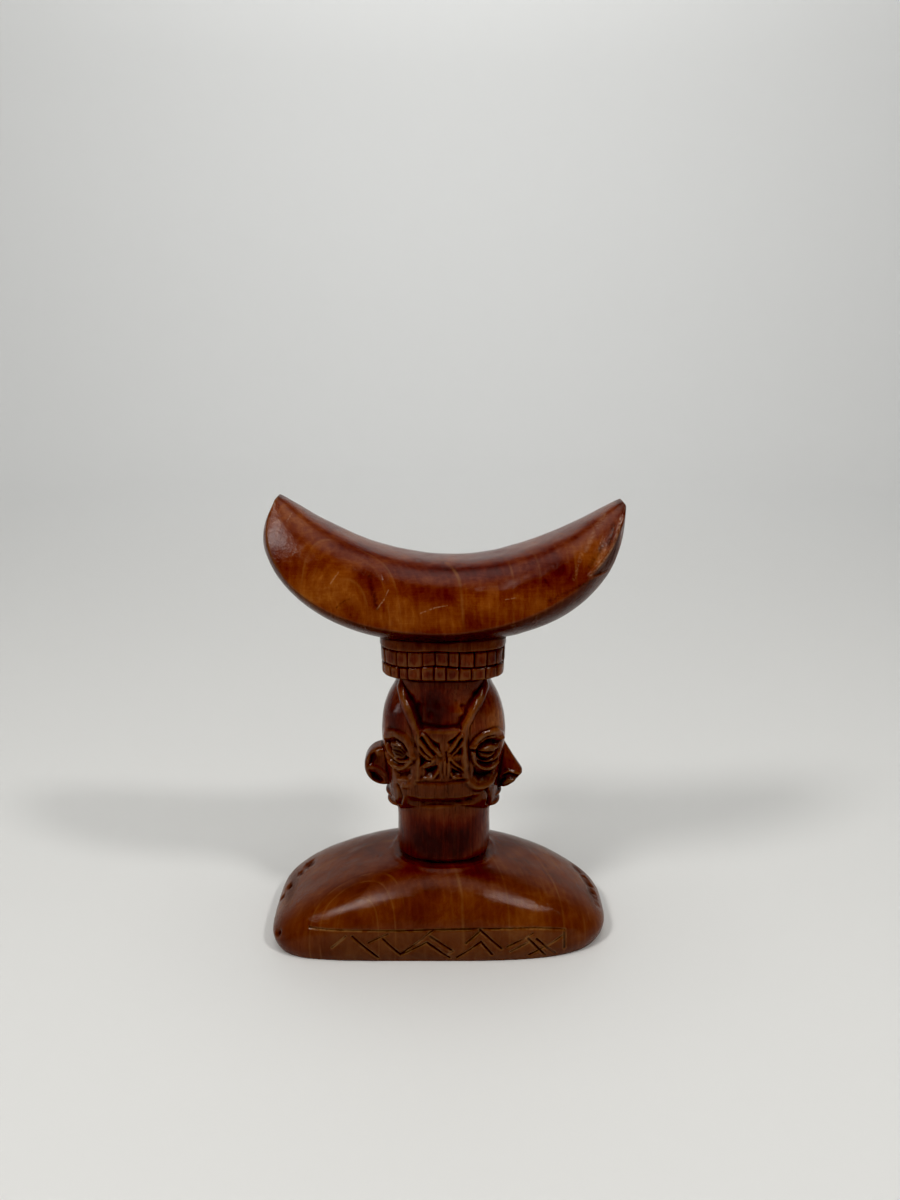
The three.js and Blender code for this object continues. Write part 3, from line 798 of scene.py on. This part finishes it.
def carve_base(points):
    x, y, z = points.T
    low = ramp(z, 16, 15)
    uneven = 0.7 + 0.5 * noise(points, 5, 21)
    for side, strokes in ((-1, FRONT_STROKES), (1, BACK_STROKES)):
        amount = bent(x, z, BAND_LINE, 0.6, -0.5)
        for depth, path in strokes:
            amount = np.minimum(amount, ridge(x, z, path, STROKE_HALF_WIDTH, -depth) * uneven)
        amount -= BAND_SINK * below_band_top(x, z, 0.5) * ramp(np.abs(x), 52, 44)
        points[:, 1] += (y * side > 14) * side * amount * low * ramp(np.abs(y), 14, 16)


NECK_RADIUS = 16
LIP_AWAY, LIP_HALF_WIDTH, LIP_HEIGHT = 1.6, 0.9, 0.35


def carve_neck_foot(points):
    """The dome's worn lip round the neck."""
    x, y, z = points.T
    reach = plan_reach(x, y, NECK_HALF_WIDTH, NECK_HALF_DEPTH, NECK_SQUARENESS)
    away = (reach ** (1 / NECK_SQUARENESS) - 1) * NECK_RADIUS
    dome = ramp(z, 26, 27.5) * ramp(z, 36, 34)
    lip = LIP_HEIGHT * np.exp(-((away - LIP_AWAY) / LIP_HALF_WIDTH) ** 2)
    points[:, 2] += dome * lip * ramp(away, 0, 0.8)


# The right horn's edge is broken away along a dished strip, which ends in a notch low down.
RIM_HEIGHTS = [142.6, 143.5, 147.8, 152.4, 156.6, 160.8]
RIM_X = [49.2, 49.7, 54.2, 57.6, 59.8, 61]
DISH_DEPTH, DISH_WIDTH = 0.9, 3


def carve_horn(points):
    x, y, z = points.T
    beyond = x - np.interp(z, RIM_HEIGHTS, RIM_X)
    gate = ramp(z, 142.8, 143.8) * ramp(z, 161.5, 157) * ramp(-y, 5, 10)
    rough_depth = DISH_DEPTH + 0.3 * noise(points, (1.6, 1.6, 3), 35)
    points[:, 1] += gate * rough_depth * ramp(beyond, 0, DISH_WIDTH)
    points[:, 1] -= 0.35 * gate * np.exp(-((beyond + 0.7) / 0.6) ** 2)


# Wear: the whole surface isn't quite even, edges are rubbed, and the base is chipped.

# Each chip's centre, radius and depth
CHIPS = [
    ((55, 12, 14.6), 4.4, 0.9),
    ((57.4, 5, 13.4), 4.2, 1.1),
    ((58.8, -2, 12), 3.8, 0.9),
    ((59.4, -7.5, 10.8), 2.4, 0.5),
    ((-54.6, 11.5, 17), 3.6, 1),
    ((-57.8, 8, 15), 2.6, 0.8),
    ((-61.4, 2.5, 11.4), 2.8, 1.1),
    ((-62.6, -1.5, 8.6), 2, 0.7),
    ((-61.2, -22.4, 7.2), 2.2, 0.8),
    ((-46, 29, 3), 3, 0.8),
    ((30, 30, 2), 3, 0.7),
]


def chipped(points, centre, radius):
    """One inside a chip with a crisp, uneven edge, and nothing outside it."""
    away = np.linalg.norm(points - centre, axis=1) / radius + 0.25 * noise(points, 2.1, 41)
    return np.clip(1.4 * (1 - away), 0, 1)


def wear(points, triangles):
    normals = vertex_normals(points, triangles)
    amount = 0.17 * noise(points, 13, 1) + 0.09 * noise(points, 5, 2) + 0.035 * noise(points, 2.2, 3)
    flat_foot = ramp(points[:, 2], 0, 0.8)
    for centre, radius, depth in CHIPS:
        amount -= depth * chipped(points, centre, radius)
    return points + normals * (amount * flat_foot)[:, None]


def standing_out(points, edges, rounds):
    """How far each point stands out from its wider surroundings, above zero on edges and ridges."""
    wide = points
    for _ in range(rounds):
        wide = neighbour_mean(wide, edges)
    return points - wide


def build_carving():
    forms = [base_form(), neck_form(), head_form(), round_nose_form(), wedge_nose_form()]
    forms += [collar_form(), crescent_form(), *lip_forms(-1), *lip_forms(1)]
    points = []
    triangles = []
    start = 0
    for form_points, form_triangles in forms:
        points.append(form_points)
        triangles.append(form_triangles + start)
        start += len(form_points)
    points, triangles, edges, _ = with_modifier(
        np.concatenate(points), np.concatenate(triangles), {},
        "REMESH", mode="VOXEL", voxel_size=VOXEL, adaptivity=0.0,
    )
    points = relax(points, edges, 3)
    for carve in (carve_head, carve_noses, carve_collar, carve_base, carve_neck_foot, carve_horn):
        carve(points)
    points = relax(points, edges, 1, 0.35, 0.36)
    tips = ramp(points[:, 2], 160, 164)[:, None]
    points += tips * (relax(points, edges, 8, 0.5, 0) - points)
    points = wear(points, triangles)
    points[:, 2] = np.maximum(points[:, 2], 0)
    return points, triangles, edges


# The finished mesh: fewer faces where the surface is plain, and what the wood needs to know at each point,
# painted shade and highlights among it

def blob(points, centre, half_sizes):
    """One at a place, falling to nothing round it."""
    away = np.linalg.norm((points - centre) / np.asarray(half_sizes, float), axis=1)
    return ramp(away, 1, 0.25)


def raise_patches(field, points, patches):
    """The field, at least as strong as each patch where that patch lies."""
    for centre, half_sizes, strength in patches:
        field = np.maximum(field, strength * blob(points, centre, half_sizes))
    return field


# Each patch's centre, half sizes and strength
RED_PATCHES = [
    ((-5, -15, 92), (11, 8, 13), 1.0),
    ((-16.5, -8, 88), (6, 9, 9), 0.9),
    ((-16, -12, 75.5), (4, 5, 3), 1.0),
    ((15.5, -12, 66.5), (5, 6, 4), 1.0),
    ((-26, 0, 66), (4, 6, 7), 0.9),
    ((0, -17, 57), (15, 4, 2), 0.9),
    ((0, 0, 40), (26, 24, 15), 0.95),
    ((0, -16, 110), (30, 14, 10), 0.4),
    ((0, 0, 12), (110, 60, 34), 0.15),
    ((14, -8, 96), (8, 11, 8), 0.5),
    ((0, 0, 62), (32, 30, 20), 0.5),
    ((0, -16, 40), (26, 12, 13), 1.0),
    ((3, -15, 44), (22, 26, 12), 0.5),
    ((16, -16, 29), (13, 9, 5), 0.7),
    ((-7, -27, 19), (15, 8, 6), 0.35),
    ((8, -28, 12), (11, 7, 6), 0.45),
    ((0, -18, 122), (30, 9, 5), 0.8),
    ((-30, -10, 150), (22, 8, 5), 0.55),
    ((5, -14, 144), (40, 7, 4), 0.6),
    ((-24, -20, 143), (8, 6, 6), 0.4),
    ((44, -18, 146), (10, 8, 9), 0.45),
    ((-14, -14, 110), (10, 9, 8), 0.5),
    ((17, -14, 111), (7, 9, 5), 0.5),
    ((25, -4, 60), (5, 6, 3), 0.9),
    ((55, -16, 18), (8, 10, 8), 0.4),
]
GOLD_PATCHES = [
    ((-44, -20, 140), (22, 9, 13), 0.6),
    ((-10, -22, 130), (24, 7, 9), 0.65),
    ((27, -22, 134), (27, 8, 9), 0.55),
    ((-48, -18, 150), (13, 9, 10), 0.45),
    ((48, -18, 151), (10, 9, 10), 0.5),
    ((-42, -26, 14), (22, 12, 12), 0.25),
    ((8, -15, 91), (5, 7, 10), 0.8),
    ((19.5, -9, 86), (5, 9, 7), 0.6),
    ((-2, -29, 20), (8, 6, 8), 0.35),
    ((34, -26, 14), (16, 9, 8), 0.12),
]
# Places painted darker, the same on the front and the back: painted shade with grime in the carved hollows,
# the jaw groove and on the ends of the base and horns
SHADE_AND_GRIME_PATCHES = [
    ((12.8, -11, 91.5), (3.6, 5, 6), 0.6),
    ((-16.2, -12, 75.2), (4.2, 7, 3), 0.75),
    ((15.2, -13, 66.6), (4.8, 7, 3.4), 0.75),
    ((15.9, -12, 75.4), (4, 7, 2.6), 0.5),
    ((-25.5, -4, 69.5), (3.4, 3, 3.2), 0.9),
    ((-25, -4, 62), (3.6, 3, 3.2), 0.9),
    ((24.4, -4, 62.4), (4, 3, 1.8), 0.5),
    ((0, -16.5, 56.8), (15, 5, 2), 0.6),
    ((-60, -4, 13), (4, 12, 5), 0.5),
    ((58, -4, 13), (4, 12, 5), 0.5),
    ((-60.5, -16, 7), (4, 9, 5), 0.4),
    ((62, 0, 165), (3, 12, 7), 0.6),
    ((-57.5, 0, 168), (4, 9, 3.5), 0.6),
]
MATTE_PATCHES = [
    ((-57, -12, 152), (12, 14, 17), 0.5),
    ((58, -10, 150), (9, 14, 12), 0.9),
]
NEAR_ROUNDS = 10
WIDE_ROUNDS = 70
FIELDS = ("edge", "recess", "red", "gold", "zone", "band", "matte")


def finish_mesh(points, triangles, edges):
    normals = vertex_normals(points, triangles)
    near = np.einsum("ij,ij->i", standing_out(points, edges, NEAR_ROUNDS), normals)
    wide = np.einsum("ij,ij->i", standing_out(points, edges, WIDE_ROUNDS), normals)
    x, y, z = points.T
    head_zone = ramp(z, 48, 52) * ramp(z, 118, 112)
    # A painted highlight along the left horn's arris joins the edge wear.
    left_rim_highlight = ramp(-x, 50, 56) * ramp(z, 140, 150)
    edge = ramp(near, 0.05, 0.2) * (0.3 + 0.7 * head_zone + left_rim_highlight)
    edge += 0.2 * ramp(wide, 0.25, 0.9) * head_zone
    # Painted shade on the right horn's dished strip, which turns away from the light; this strip loses its
    # edge wear.
    beyond_rim = x - np.interp(z, RIM_HEIGHTS, RIM_X)
    ragged = 3 * noise(points, 3, 42)
    rim_strip_shade = ramp(beyond_rim, 0.2, 1) * ramp(z, 142, 145) * ramp(z, 162, 157) * ramp(-y + ragged, 5, 15)
    # Painted shade under the crescent, where its surface faces down.
    underside_shade = ramp(-normals[:, 2], 0.05, 0.45) * ramp(z, 114, 120)
    # Painted shade: darker in hollows and creases, which lie below their surroundings. Grime patches and
    # chips are added to this darkening below.
    recess = ramp(-near, 0.03, 0.16) + 0.7 * ramp(-wide, 0.12, 0.8)
    recess += np.maximum(0.68 * underside_shade, 0.85 * rim_strip_shade)
    recess *= 1 - 0.5 * ramp(z, 25, 28) * ramp(z, 38, 34)
    edge *= 1 - rim_strip_shade
    mirrored = np.column_stack([x, -np.abs(y), z])
    # Patches of painted shade and grime darken the wood and take off its edge wear.
    for centre, half_sizes, strength in SHADE_AND_GRIME_PATCHES:
        dark = blob(mirrored, centre, half_sizes)
        recess = np.maximum(recess, strength * dark)
        edge *= 1 - 0.4 * dark
    for centre, radius, depth in CHIPS:
        recess = np.maximum(recess, min(depth, 1) * chipped(points, centre, radius))
    red = raise_patches(0.0, points, RED_PATCHES)
    gold = raise_patches(0.0, points, GOLD_PATCHES)
    band = below_band_top(x, z, 0.8) * ramp(np.abs(x), 58, 36) * ramp(np.abs(y), 18, 22)
    zone = ramp(z, 48, 56) * ramp(z, 85, 82) * ramp(np.abs(x), 22, 18) + 0.4 * band
    matte = raise_patches(0.6 * ramp(np.abs(x), 50, 60) * ramp(z, 32, 26), points, MATTE_PATCHES)
    values = (np.clip(edge, 0, 1), np.clip(recess, 0, 1), red, gold, zone, band, matte)
    ratio = min(FACE_LIMIT / len(triangles), 1)
    points, triangles, _, fields = with_modifier(
        points, triangles, dict(zip(FIELDS, values)), "DECIMATE", ratio=ratio, use_collapse_triangulate=True,
    )
    return points, triangles, fields


def make_piece():
    points, triangles, fields = finish_mesh(*build_carving())
    mesh = arrays_to_mesh("carved_headrest", (points + [NECK_AXIS_X, 0, 0]) * MM, triangles)
    add_fields(mesh, fields)
    mesh.validate()
    mesh.shade_smooth()
    print("carved_headrest", len(mesh.vertices), "points", len(mesh.polygons), "triangles")
    return add_to_scene("carved_headrest", mesh)


# Materials

class Graph:
    """A material's nodes. An input may be a number, a tuple or another node's output."""

    def __init__(self, name):
        self.material = bpy.data.materials.new(name)
        self.material.use_nodes = True
        self.nodes = self.material.node_tree.nodes
        self.links = self.material.node_tree.links
        self.shader = self.nodes["Principled BSDF"]

    def put(self, socket, value):
        if isinstance(value, bpy.types.NodeSocket):
            self.links.new(value, socket)
        else:
            socket.default_value = value

    def node(self, kind, inputs, **settings):
        node = self.nodes.new(kind)
        for setting, value in settings.items():
            setattr(node, setting, value)
        for key, value in inputs.items():
            self.put(node.inputs[key], value)
        return node

    def math(self, operation, *values, clamp=False):
        inputs = dict(enumerate(values))
        return self.node("ShaderNodeMath", inputs, operation=operation, use_clamp=clamp).outputs[0]

    def times(self, first, second, clamp=False):
        return self.math("MULTIPLY", first, second, clamp=clamp)

    def plus(self, base, value, scale):
        """The base plus a value times a scale."""
        return self.math("MULTIPLY_ADD", value, scale, base)

    def vector(self, operation, *values, output="Vector", **named):
        inputs = {**dict(enumerate(values)), **named}
        return self.node("ShaderNodeVectorMath", inputs, operation=operation).outputs[output]

    def axes(self, place):
        return self.node("ShaderNodeSeparateXYZ", {"Vector": place}).outputs

    def attribute(self, name):
        return self.node("ShaderNodeAttribute", {}, attribute_name=name).outputs["Fac"]

    def noise(self, place, size, detail=3, roughness=0.55, distortion=0):
        """Noise from 0 to 1 whose lumps are about size across, in millimetres by axis."""
        return self.node("ShaderNodeTexNoise", {
            "Vector": self.vector("DIVIDE", place, size), "Scale": 1.0,
            "Detail": detail, "Roughness": roughness, "Distortion": distortion,
        }).outputs["Fac"]

    def remap(self, value, low, high, new_low=0.0, new_high=1.0, smooth=True):
        return self.node("ShaderNodeMapRange", {
            "Value": value, "From Min": low, "From Max": high, "To Min": new_low, "To Max": new_high,
        }, interpolation_type="SMOOTHSTEP" if smooth else "LINEAR").outputs["Result"]

    def mix(self, share, first, second, blend="MIX"):
        node = self.nodes.new("ShaderNodeMix")
        node.data_type = "RGBA"
        node.blend_type = blend
        self.put(node.inputs["Factor"], share)
        for key, value in (("A", first), ("B", second)):
            socket = [s for s in node.inputs if s.name == key and s.type == "RGBA"][0]
            self.put(socket, value if isinstance(value, bpy.types.NodeSocket) else (*value, 1))
        return [s for s in node.outputs if s.type == "RGBA"][0]

    def colour_ramp(self, value, stops):
        node = self.node("ShaderNodeValToRGB", {"Fac": value})
        elements = node.color_ramp.elements
        while len(elements) < len(stops):
            elements.new(0.5)
        for element, (place, colour) in zip(elements, stops):
            element.position = place
            element.color = (*colour, 1)
        return node.outputs["Color"]

    def line_distance(self, place, start, end):
        """The distance from a straight line across the front."""
        (x0, z0), (x1, z1) = start, end
        run = Vector((x1 - x0, 0, z1 - z0))
        offset = self.vector("MULTIPLY", self.vector("SUBTRACT", place, (x0, 0, z0)), (1, 0, 1))
        along = self.vector("DOT_PRODUCT", offset, tuple(run), output="Value")
        share = self.math("DIVIDE", along, run.length_squared, clamp=True)
        on_line = self.vector("SCALE", tuple(run), Scale=share)
        return self.vector("DISTANCE", offset, on_line, output="Value")

    def strokes(self, place, lines):
        """Straight lines given as start, end, half width and strength, which fade out sideways."""
        covered = 0.0
        for start, end, half_width, strength in lines:
            stroke = self.remap(self.line_distance(place, start, end), 0, half_width, strength, 0.0)
            covered = self.math("MAXIMUM", covered, stroke)
        return covered


# Figure in the wood: how far from the tree's heart its pale lines lie, their half widths and strengths
PALE_RINGS = [
    (8.0, 0.4, 0.55),
    (14.0, 0.4, 0.6),
    (17.7, 0.4, 0.8),
    (38.9, 0.9, 0.75),
    (55.8, 0.5, 0.5),
    (64.5, 0.4, 0.35),
    (76.4, 0.5, 0.6),
    (84.5, 0.4, 0.45),
]
HEART_X = -31.3
HEART_Y_AT_FOOT = -32.5
HEART_Y_RISE = 0.034
SWAY = 3.4
RING_GAP = 1.3

# Marks across the front, as start, end, half width and strength. The first pale ones, along the right horn's
# rim, are a painted highlight; the rest are scratches.
RIM_LINE = list(zip(RIM_X, RIM_HEIGHTS))[1:]
PALE_SCRATCHES_AND_RIM_HIGHLIGHT = [
    *[(start, end, 0.7, 0.5) for start, end in zip(RIM_LINE, RIM_LINE[1:])],
    ((-22.2, 132.6), (-19.9, 135.5), 0.4, 0.5),
    ((-19.9, 135.5), (-18.4, 138.6), 0.35, 0.4),
    ((-7.5, 131), (-2.6, 132.8), 0.4, 0.45),
    ((-2.6, 132.8), (1.5, 133.5), 0.35, 0.45),
    ((-37.9, 141.1), (-35.3, 144.5), 0.35, 0.4),
    ((21.2, 135.7), (24.6, 136.3), 0.35, 0.3),
    ((-53.4, 160.3), (-52.1, 162.5), 0.4, 0.3),
    ((56, 161.8), (52.9, 158.6), 1.3, 0.2),
    ((51.4, 156.4), (48.4, 151.4), 1.2, 0.22),
    ((46.9, 150.2), (44.3, 142.6), 1.1, 0.2),
    ((55.6, 152.3), (51.6, 147.2), 1.1, 0.25),
]
DARK_MARKS = [
    ((-36, 133.1), (-34.1, 134.9), 0.5, 0.6),
    ((-34.1, 134.9), (-31.5, 136), 0.45, 0.6),
    ((-24.9, 143.1), (-22.2, 132.6), 1.3, 0.55),
    ((-31.2, 130.6), (-31, 130.2), 0.7, 0.6),
    ((-9.8, 125.6), (-9.6, 125.2), 0.7, 0.6),
    ((34.6, 142.2), (34.8, 141.4), 0.9, 0.6),
    ((58.4, 159), (56.5, 153.7), 1.4, 0.7),
    ((54.4, 153.6), (49.6, 146.4), 1.3, 0.5),
    ((52.1, 141.8), (46.3, 140.2), 1.5, 0.6),
    ((46.3, 140.2), (36, 135.4), 1.1, 0.4),
]


# Colours of the varnished wood from its darkest to its palest tone, and of what lies in or on it, painted
# shade and highlights among them
VARNISH = [
    (0.0, (0.03, 0.003, 0.002)),
    (0.28, (0.08, 0.009, 0.003)),
    (0.52, (0.135, 0.028, 0.008)),
    (0.74, (0.215, 0.064, 0.015)),
    (1.0, (0.33, 0.135, 0.032)),
]
BASE_BROWN = (0.11, 0.04, 0.013)
PALE_RING = (0.34, 0.16, 0.05)
CARVED_BROWN = (0.095, 0.042, 0.014)
DUST = (0.14, 0.06, 0.022)
DARK_GRAIN = (0.018, 0.004, 0.002)
# Pale burrs and the painted highlight on lit groove walls, then painted shade and grime in the falling
# grooves
PALE_BURR_AND_HIGHLIGHT = (0.30, 0.16, 0.06)
STROKE_SHADE_AND_GRIME = (0.018, 0.006, 0.003)
# Painted shade and grime
GRIME_AND_SHADE = (0.018, 0.005, 0.003)
# Worn edges, and the painted highlight along the left horn's arris
WORN_EDGE_AND_HIGHLIGHT = (0.185, 0.088, 0.032)
# Pale scratches, and the painted highlight along the right horn's rim
PALE_SCRATCH_AND_HIGHLIGHT = (0.42, 0.27, 0.17)
DARK_MARK = (0.02, 0.006, 0.003)


def growth_rings(g, place):
    """Fine rings and pale lines round the tree's heart, which stands a little in front of the wood."""
    sway = g.node("ShaderNodeTexNoise", {
        "Vector": g.vector("DIVIDE", place, (26, 26, 40)), "Scale": 1.0, "Detail": 2,
    }).outputs["Color"]
    bent_place = g.axes(g.vector("MULTIPLY_ADD", sway, (SWAY, SWAY, 0), place))
    heart_y = g.plus(HEART_Y_AT_FOOT + SWAY / 2, bent_place["Z"], HEART_Y_RISE)
    across = g.math("SUBTRACT", bent_place["X"], HEART_X + SWAY / 2)
    deep = g.math("SUBTRACT", bent_place["Y"], heart_y)
    radius = g.math("SQRT", g.math("ADD", g.times(across, across), g.times(deep, deep)))
    fine_rings = g.remap(g.math("PINGPONG", g.math("DIVIDE", radius, RING_GAP), 1.0), 0.35, 1.0)
    largest = PALE_RINGS[-1][0] + 5
    spikes = [(0.0, (0, 0, 0))]
    for middle, half_width, strength in PALE_RINGS:
        for shift, grey in ((-half_width, 0), (0, strength), (half_width, 0)):
            spikes.append(((middle + shift) / largest, (grey, grey, grey)))
    lines = g.colour_ramp(g.math("DIVIDE", radius, largest), spikes)
    return fine_rings, g.times(lines, g.remap(g.noise(place, (9, 9, 15), 2), 0.35, 0.6, 0.1, 1.0))


def band_strokes(g, place):
    """Distances from strokes that fall to the right, painted dark with shade and grime, and from the others,
    painted pale as lit groove walls and burrs.
    """
    falling = 9.0
    rising = 9.0
    for start, end in [path for _, path in FRONT_STROKES] + list(zip(BAND_LINE, BAND_LINE[1:])):
        distance = g.line_distance(place, start, end)
        if end[1] < start[1] - 2:
            falling = g.math("MINIMUM", falling, distance)
        else:
            rising = g.math("MINIMUM", rising, distance)
    return falling, rising


def wood_material():
    g = Graph("varnished_wood_carved")
    coordinates = g.node("ShaderNodeTexCoord", {}).outputs["Object"]
    millimetres = g.vector("SCALE", coordinates, Scale=1000.0)
    place = g.vector("SUBTRACT", millimetres, (NECK_AXIS_X, 0, 0))
    # The darkening field carries painted shade in hollows, under the crescent and on the right horn's strip,
    # with grime and chips.
    edge, recess, red, gold, zone, band, matte = (g.attribute(name) for name in FIELDS)
    on_front = g.remap(g.axes(place)["Y"], -3, -5)
    level = g.axes(place)["Z"]
    on_stem = g.times(g.remap(level, 28, 34), g.remap(level, 122, 116))
    on_crescent = g.remap(level, 118, 124)
    on_base = g.remap(level, 33, 26, 0.0, 0.32)

    clouds = g.noise(place, (24, 24, 34), 4, 0.6, 0.4)
    blotches = g.noise(place, (6, 6, 12), 5, 0.65, 0.8)
    streaks = g.noise(place, (1.1, 1.1, 26), 4, 0.65)
    fibres = g.noise(place, (0.3, 0.3, 6), 3, 0.6)
    rays = g.noise(place, (4.5, 4.5, 0.45), 3, 0.6)
    dark_lines = g.remap(g.noise(place, (0.55, 0.55, 14), 3, 0.6), 0.56, 0.66)
    fine_rings, pale_rings = growth_rings(g, place)

    tone = g.plus(-0.05, clouds, 1.0)
    streak_strength = g.plus(0.11, on_stem, 0.34)
    ray_strength = g.times(on_crescent, 0.22)
    layers = (blotches, 0.68), (streaks, streak_strength), (rays, ray_strength), (fibres, 0.22)
    for layer, strength in layers:
        tone = g.plus(tone, g.math("SUBTRACT", layer, 0.5), strength)
    for layer, strength in ((fine_rings, 0.05), (gold, 0.36), (red, -0.36)):
        tone = g.plus(tone, layer, strength)
    colour = g.mix(on_base, g.colour_ramp(tone, VARNISH), BASE_BROWN)
    pale_rings = g.times(pale_rings, g.plus(1.0, on_stem, -0.75))
    colour = g.mix(g.times(pale_rings, 0.42), colour, PALE_RING)
    colour = g.mix(g.times(zone, 0.4), colour, CARVED_BROWN)
    colour = g.mix(g.times(band, g.remap(blotches, 0.3, 0.7, 0.05, 0.45)), colour, DUST)
    colour = g.mix(g.times(g.times(dark_lines, on_stem), 0.5), colour, DARK_GRAIN)

    # Painted light on the band's strokes: rising strokes and the flanks of falling ones are paler, as lit
    # groove walls and pale burrs; falling strokes are darker with painted shade and grime.
    falling, rising = band_strokes(g, place)
    patchy = g.times(g.remap(g.noise(place, (3, 3, 3), 2), 0.35, 0.6, 0.15, 1.0), on_front)
    burr_and_highlight = g.math("MAXIMUM", g.remap(rising, 0.8, 0.25), g.remap(falling, 1.15, 0.7, 0.0, 0.5))
    colour = g.mix(g.times(g.times(burr_and_highlight, patchy), 0.55), colour, PALE_BURR_AND_HIGHLIGHT)
    groove = g.times(g.remap(falling, 0.6, 0.25), patchy)
    colour = g.mix(g.times(groove, 0.65), colour, STROKE_SHADE_AND_GRIME)

    # Painted shade and grime: the darkening field mixes the wood toward a near-black brown.
    shade_and_grime = g.times(recess, g.remap(blotches, 0.2, 0.6, 0.75, 1.0), clamp=True)
    colour = g.mix(g.times(shade_and_grime, 0.85), colour, GRIME_AND_SHADE)
    # Worn edges are paler; on the left horn's arris this paler colour is a painted highlight.
    worn = g.times(edge, g.remap(blotches, 0.25, 0.65, 0.35, 1.0), clamp=True)
    colour = g.mix(g.times(worn, 0.6), colour, WORN_EDGE_AND_HIGHLIGHT)
    broken = g.remap(g.noise(place, (0.9, 0.9, 0.9), 2), 0.35, 0.6, 0.1, 1.0)
    # Pale scratches with the right horn's painted rim highlight, then dark marks.
    for marks, mark_colour in ((PALE_SCRATCHES_AND_RIM_HIGHLIGHT, PALE_SCRATCH_AND_HIGHLIGHT), (DARK_MARKS, DARK_MARK)):
        colour = g.mix(g.times(g.times(g.strokes(place, marks), on_front), broken), colour, mark_colour)
    g.put(g.shader.inputs["Base Color"], colour)

    rough = 0.07
    roughening = (clouds, 0.06), (blotches, 0.07), (zone, 0.04), (band, 0.1), (shade_and_grime, 0.2), (matte, 0.17)
    for layer, share in roughening:
        rough = g.plus(rough, layer, share)
    g.put(g.shader.inputs["Roughness"], rough)
    g.put(g.shader.inputs["Specular IOR Level"], g.remap(shade_and_grime, 0.3, 0.9, 0.28, 0.1))

    pits = g.noise(place, (1.3, 1.3, 1), 3, 0.6)
    height = g.plus(g.plus(g.times(fibres, 0.9), streaks, 0.6), pits, 0.9)
    strength = g.plus(0.32, on_stem, -0.12)
    bump = g.node("ShaderNodeBump", {"Strength": strength, "Distance": 0.00025, "Height": height})
    g.put(g.shader.inputs["Normal"], bump.outputs["Normal"])
    return g.material


def floor_material():
    g = Graph("pale_floor")
    g.shader.inputs["Base Color"].default_value = (0.735, 0.74, 0.735, 1)
    g.shader.inputs["Roughness"].default_value = 0.62
    g.shader.inputs["Specular IOR Level"].default_value = 0.3
    return g.material


# The studio

def make_floor():
    """A plain pale floor, level far round the object and rising smoothly beyond it."""
    level_radius, rise_radius, wall_height = 1.1, 0.7, 1.6
    profile = [(0.001, 0), (0.3, 0), (level_radius, 0)]
    for angle in np.radians(np.linspace(6, 90, 15)):
        profile.append((level_radius + rise_radius * math.sin(angle), rise_radius * (1 - math.cos(angle))))
    profile.append((level_radius + rise_radius, wall_height))
    sides = 96
    turns = np.linspace(0, 2 * math.pi, sides, endpoint=False)
    around = np.column_stack([np.cos(turns), np.sin(turns)])
    points = np.concatenate([ring_at(radius * around, z) for radius, z in profile])
    step = np.arange(sides)
    after = (step + 1) % sides
    row = np.stack([step, step + sides, after + sides, after], axis=1)
    faces = np.concatenate([row + level * sides for level in range(len(profile) - 1)])
    mesh = arrays_to_mesh("floor", points, faces)
    mesh.shade_smooth()
    mesh.materials.append(floor_material())
    return add_to_scene("floor", mesh)


OBJECT_MIDDLE = Vector((0, 0, 0.08))
WARM_WHITE = (1.0, 0.98, 0.95)
CAMERA_TILT_DOWN = 15.7


def area_light(name, location, target, size, power, colour=WARM_WHITE, spread=180):
    """A soft round light at a place, aimed at another, with its spread in degrees."""
    data = bpy.data.lights.new(name, "AREA")
    data.shape = "DISK"
    data.size = size
    data.energy = power
    data.color = colour
    data.spread = math.radians(spread)
    light = add_to_scene(name, data)
    light.location = location
    light.rotation_mode = "QUATERNION"
    light.rotation_quaternion = (Vector(location) - Vector(target)).to_track_quat("Z", "Y")
    light.visible_camera = False


def light_on_object(name, azimuth, elevation, distance, size, power, colour=WARM_WHITE, spread=180):
    """A light at an azimuth from the front, positive to the right, aimed at the object's middle."""
    turn, rise = math.radians(azimuth), math.radians(elevation)
    away = Vector((math.sin(turn) * math.cos(rise), -math.cos(turn) * math.cos(rise), math.sin(rise)))
    area_light(name, OBJECT_MIDDLE + away * distance, OBJECT_MIDDLE, size, power, colour, spread)


def make_camera():
    data = bpy.data.cameras.new("camera")
    data.lens = 30
    data.sensor_width = 36
    data.clip_start = 0.01
    camera = add_to_scene("camera", data)
    camera.location = (0.00307, -0.347, 0.227)
    camera.rotation_euler = (math.radians(90 - CAMERA_TILT_DOWN), 0, 0)
    bpy.context.scene.camera = camera


make_camera()
piece = make_piece()
piece.data.materials.append(wood_material())
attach(piece, "root")
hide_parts("headrest")
floor = make_floor()
light_on_object("key", -46, 48, 0.95, 0.2, 2.9)
light_on_object("side", 52, 48, 0.95, 0.12, 2.3)
light_on_object("top", 180, 88, 1.3, 1.1, 4.5, (1.0, 0.98, 0.94))
light_on_object("low", -82, -1.5, 0.7, 0.1, 0.0016, (1.0, 1.0, 1.0), spread=15)
area_light("backdrop", (0, 0.9, 1.45), (0, 1.8, 0.9), 0.9, 8, (1.0, 1.0, 1.0))
world = bpy.data.worlds.new("studio")
world.use_nodes = True
background = world.node_tree.nodes["Background"].inputs
background["Color"].default_value = (0.88, 0.88, 0.87, 1)
background["Strength"].default_value = 0.18
bpy.context.scene.world = world
view = bpy.context.scene.view_settings
view.view_transform = "Standard"
view.look = "Medium High Contrast"
view.use_curve_mapping = True
view.curve_mapping.black_level = (0.013, 0.013, 0.013)
view.curve_mapping.update()
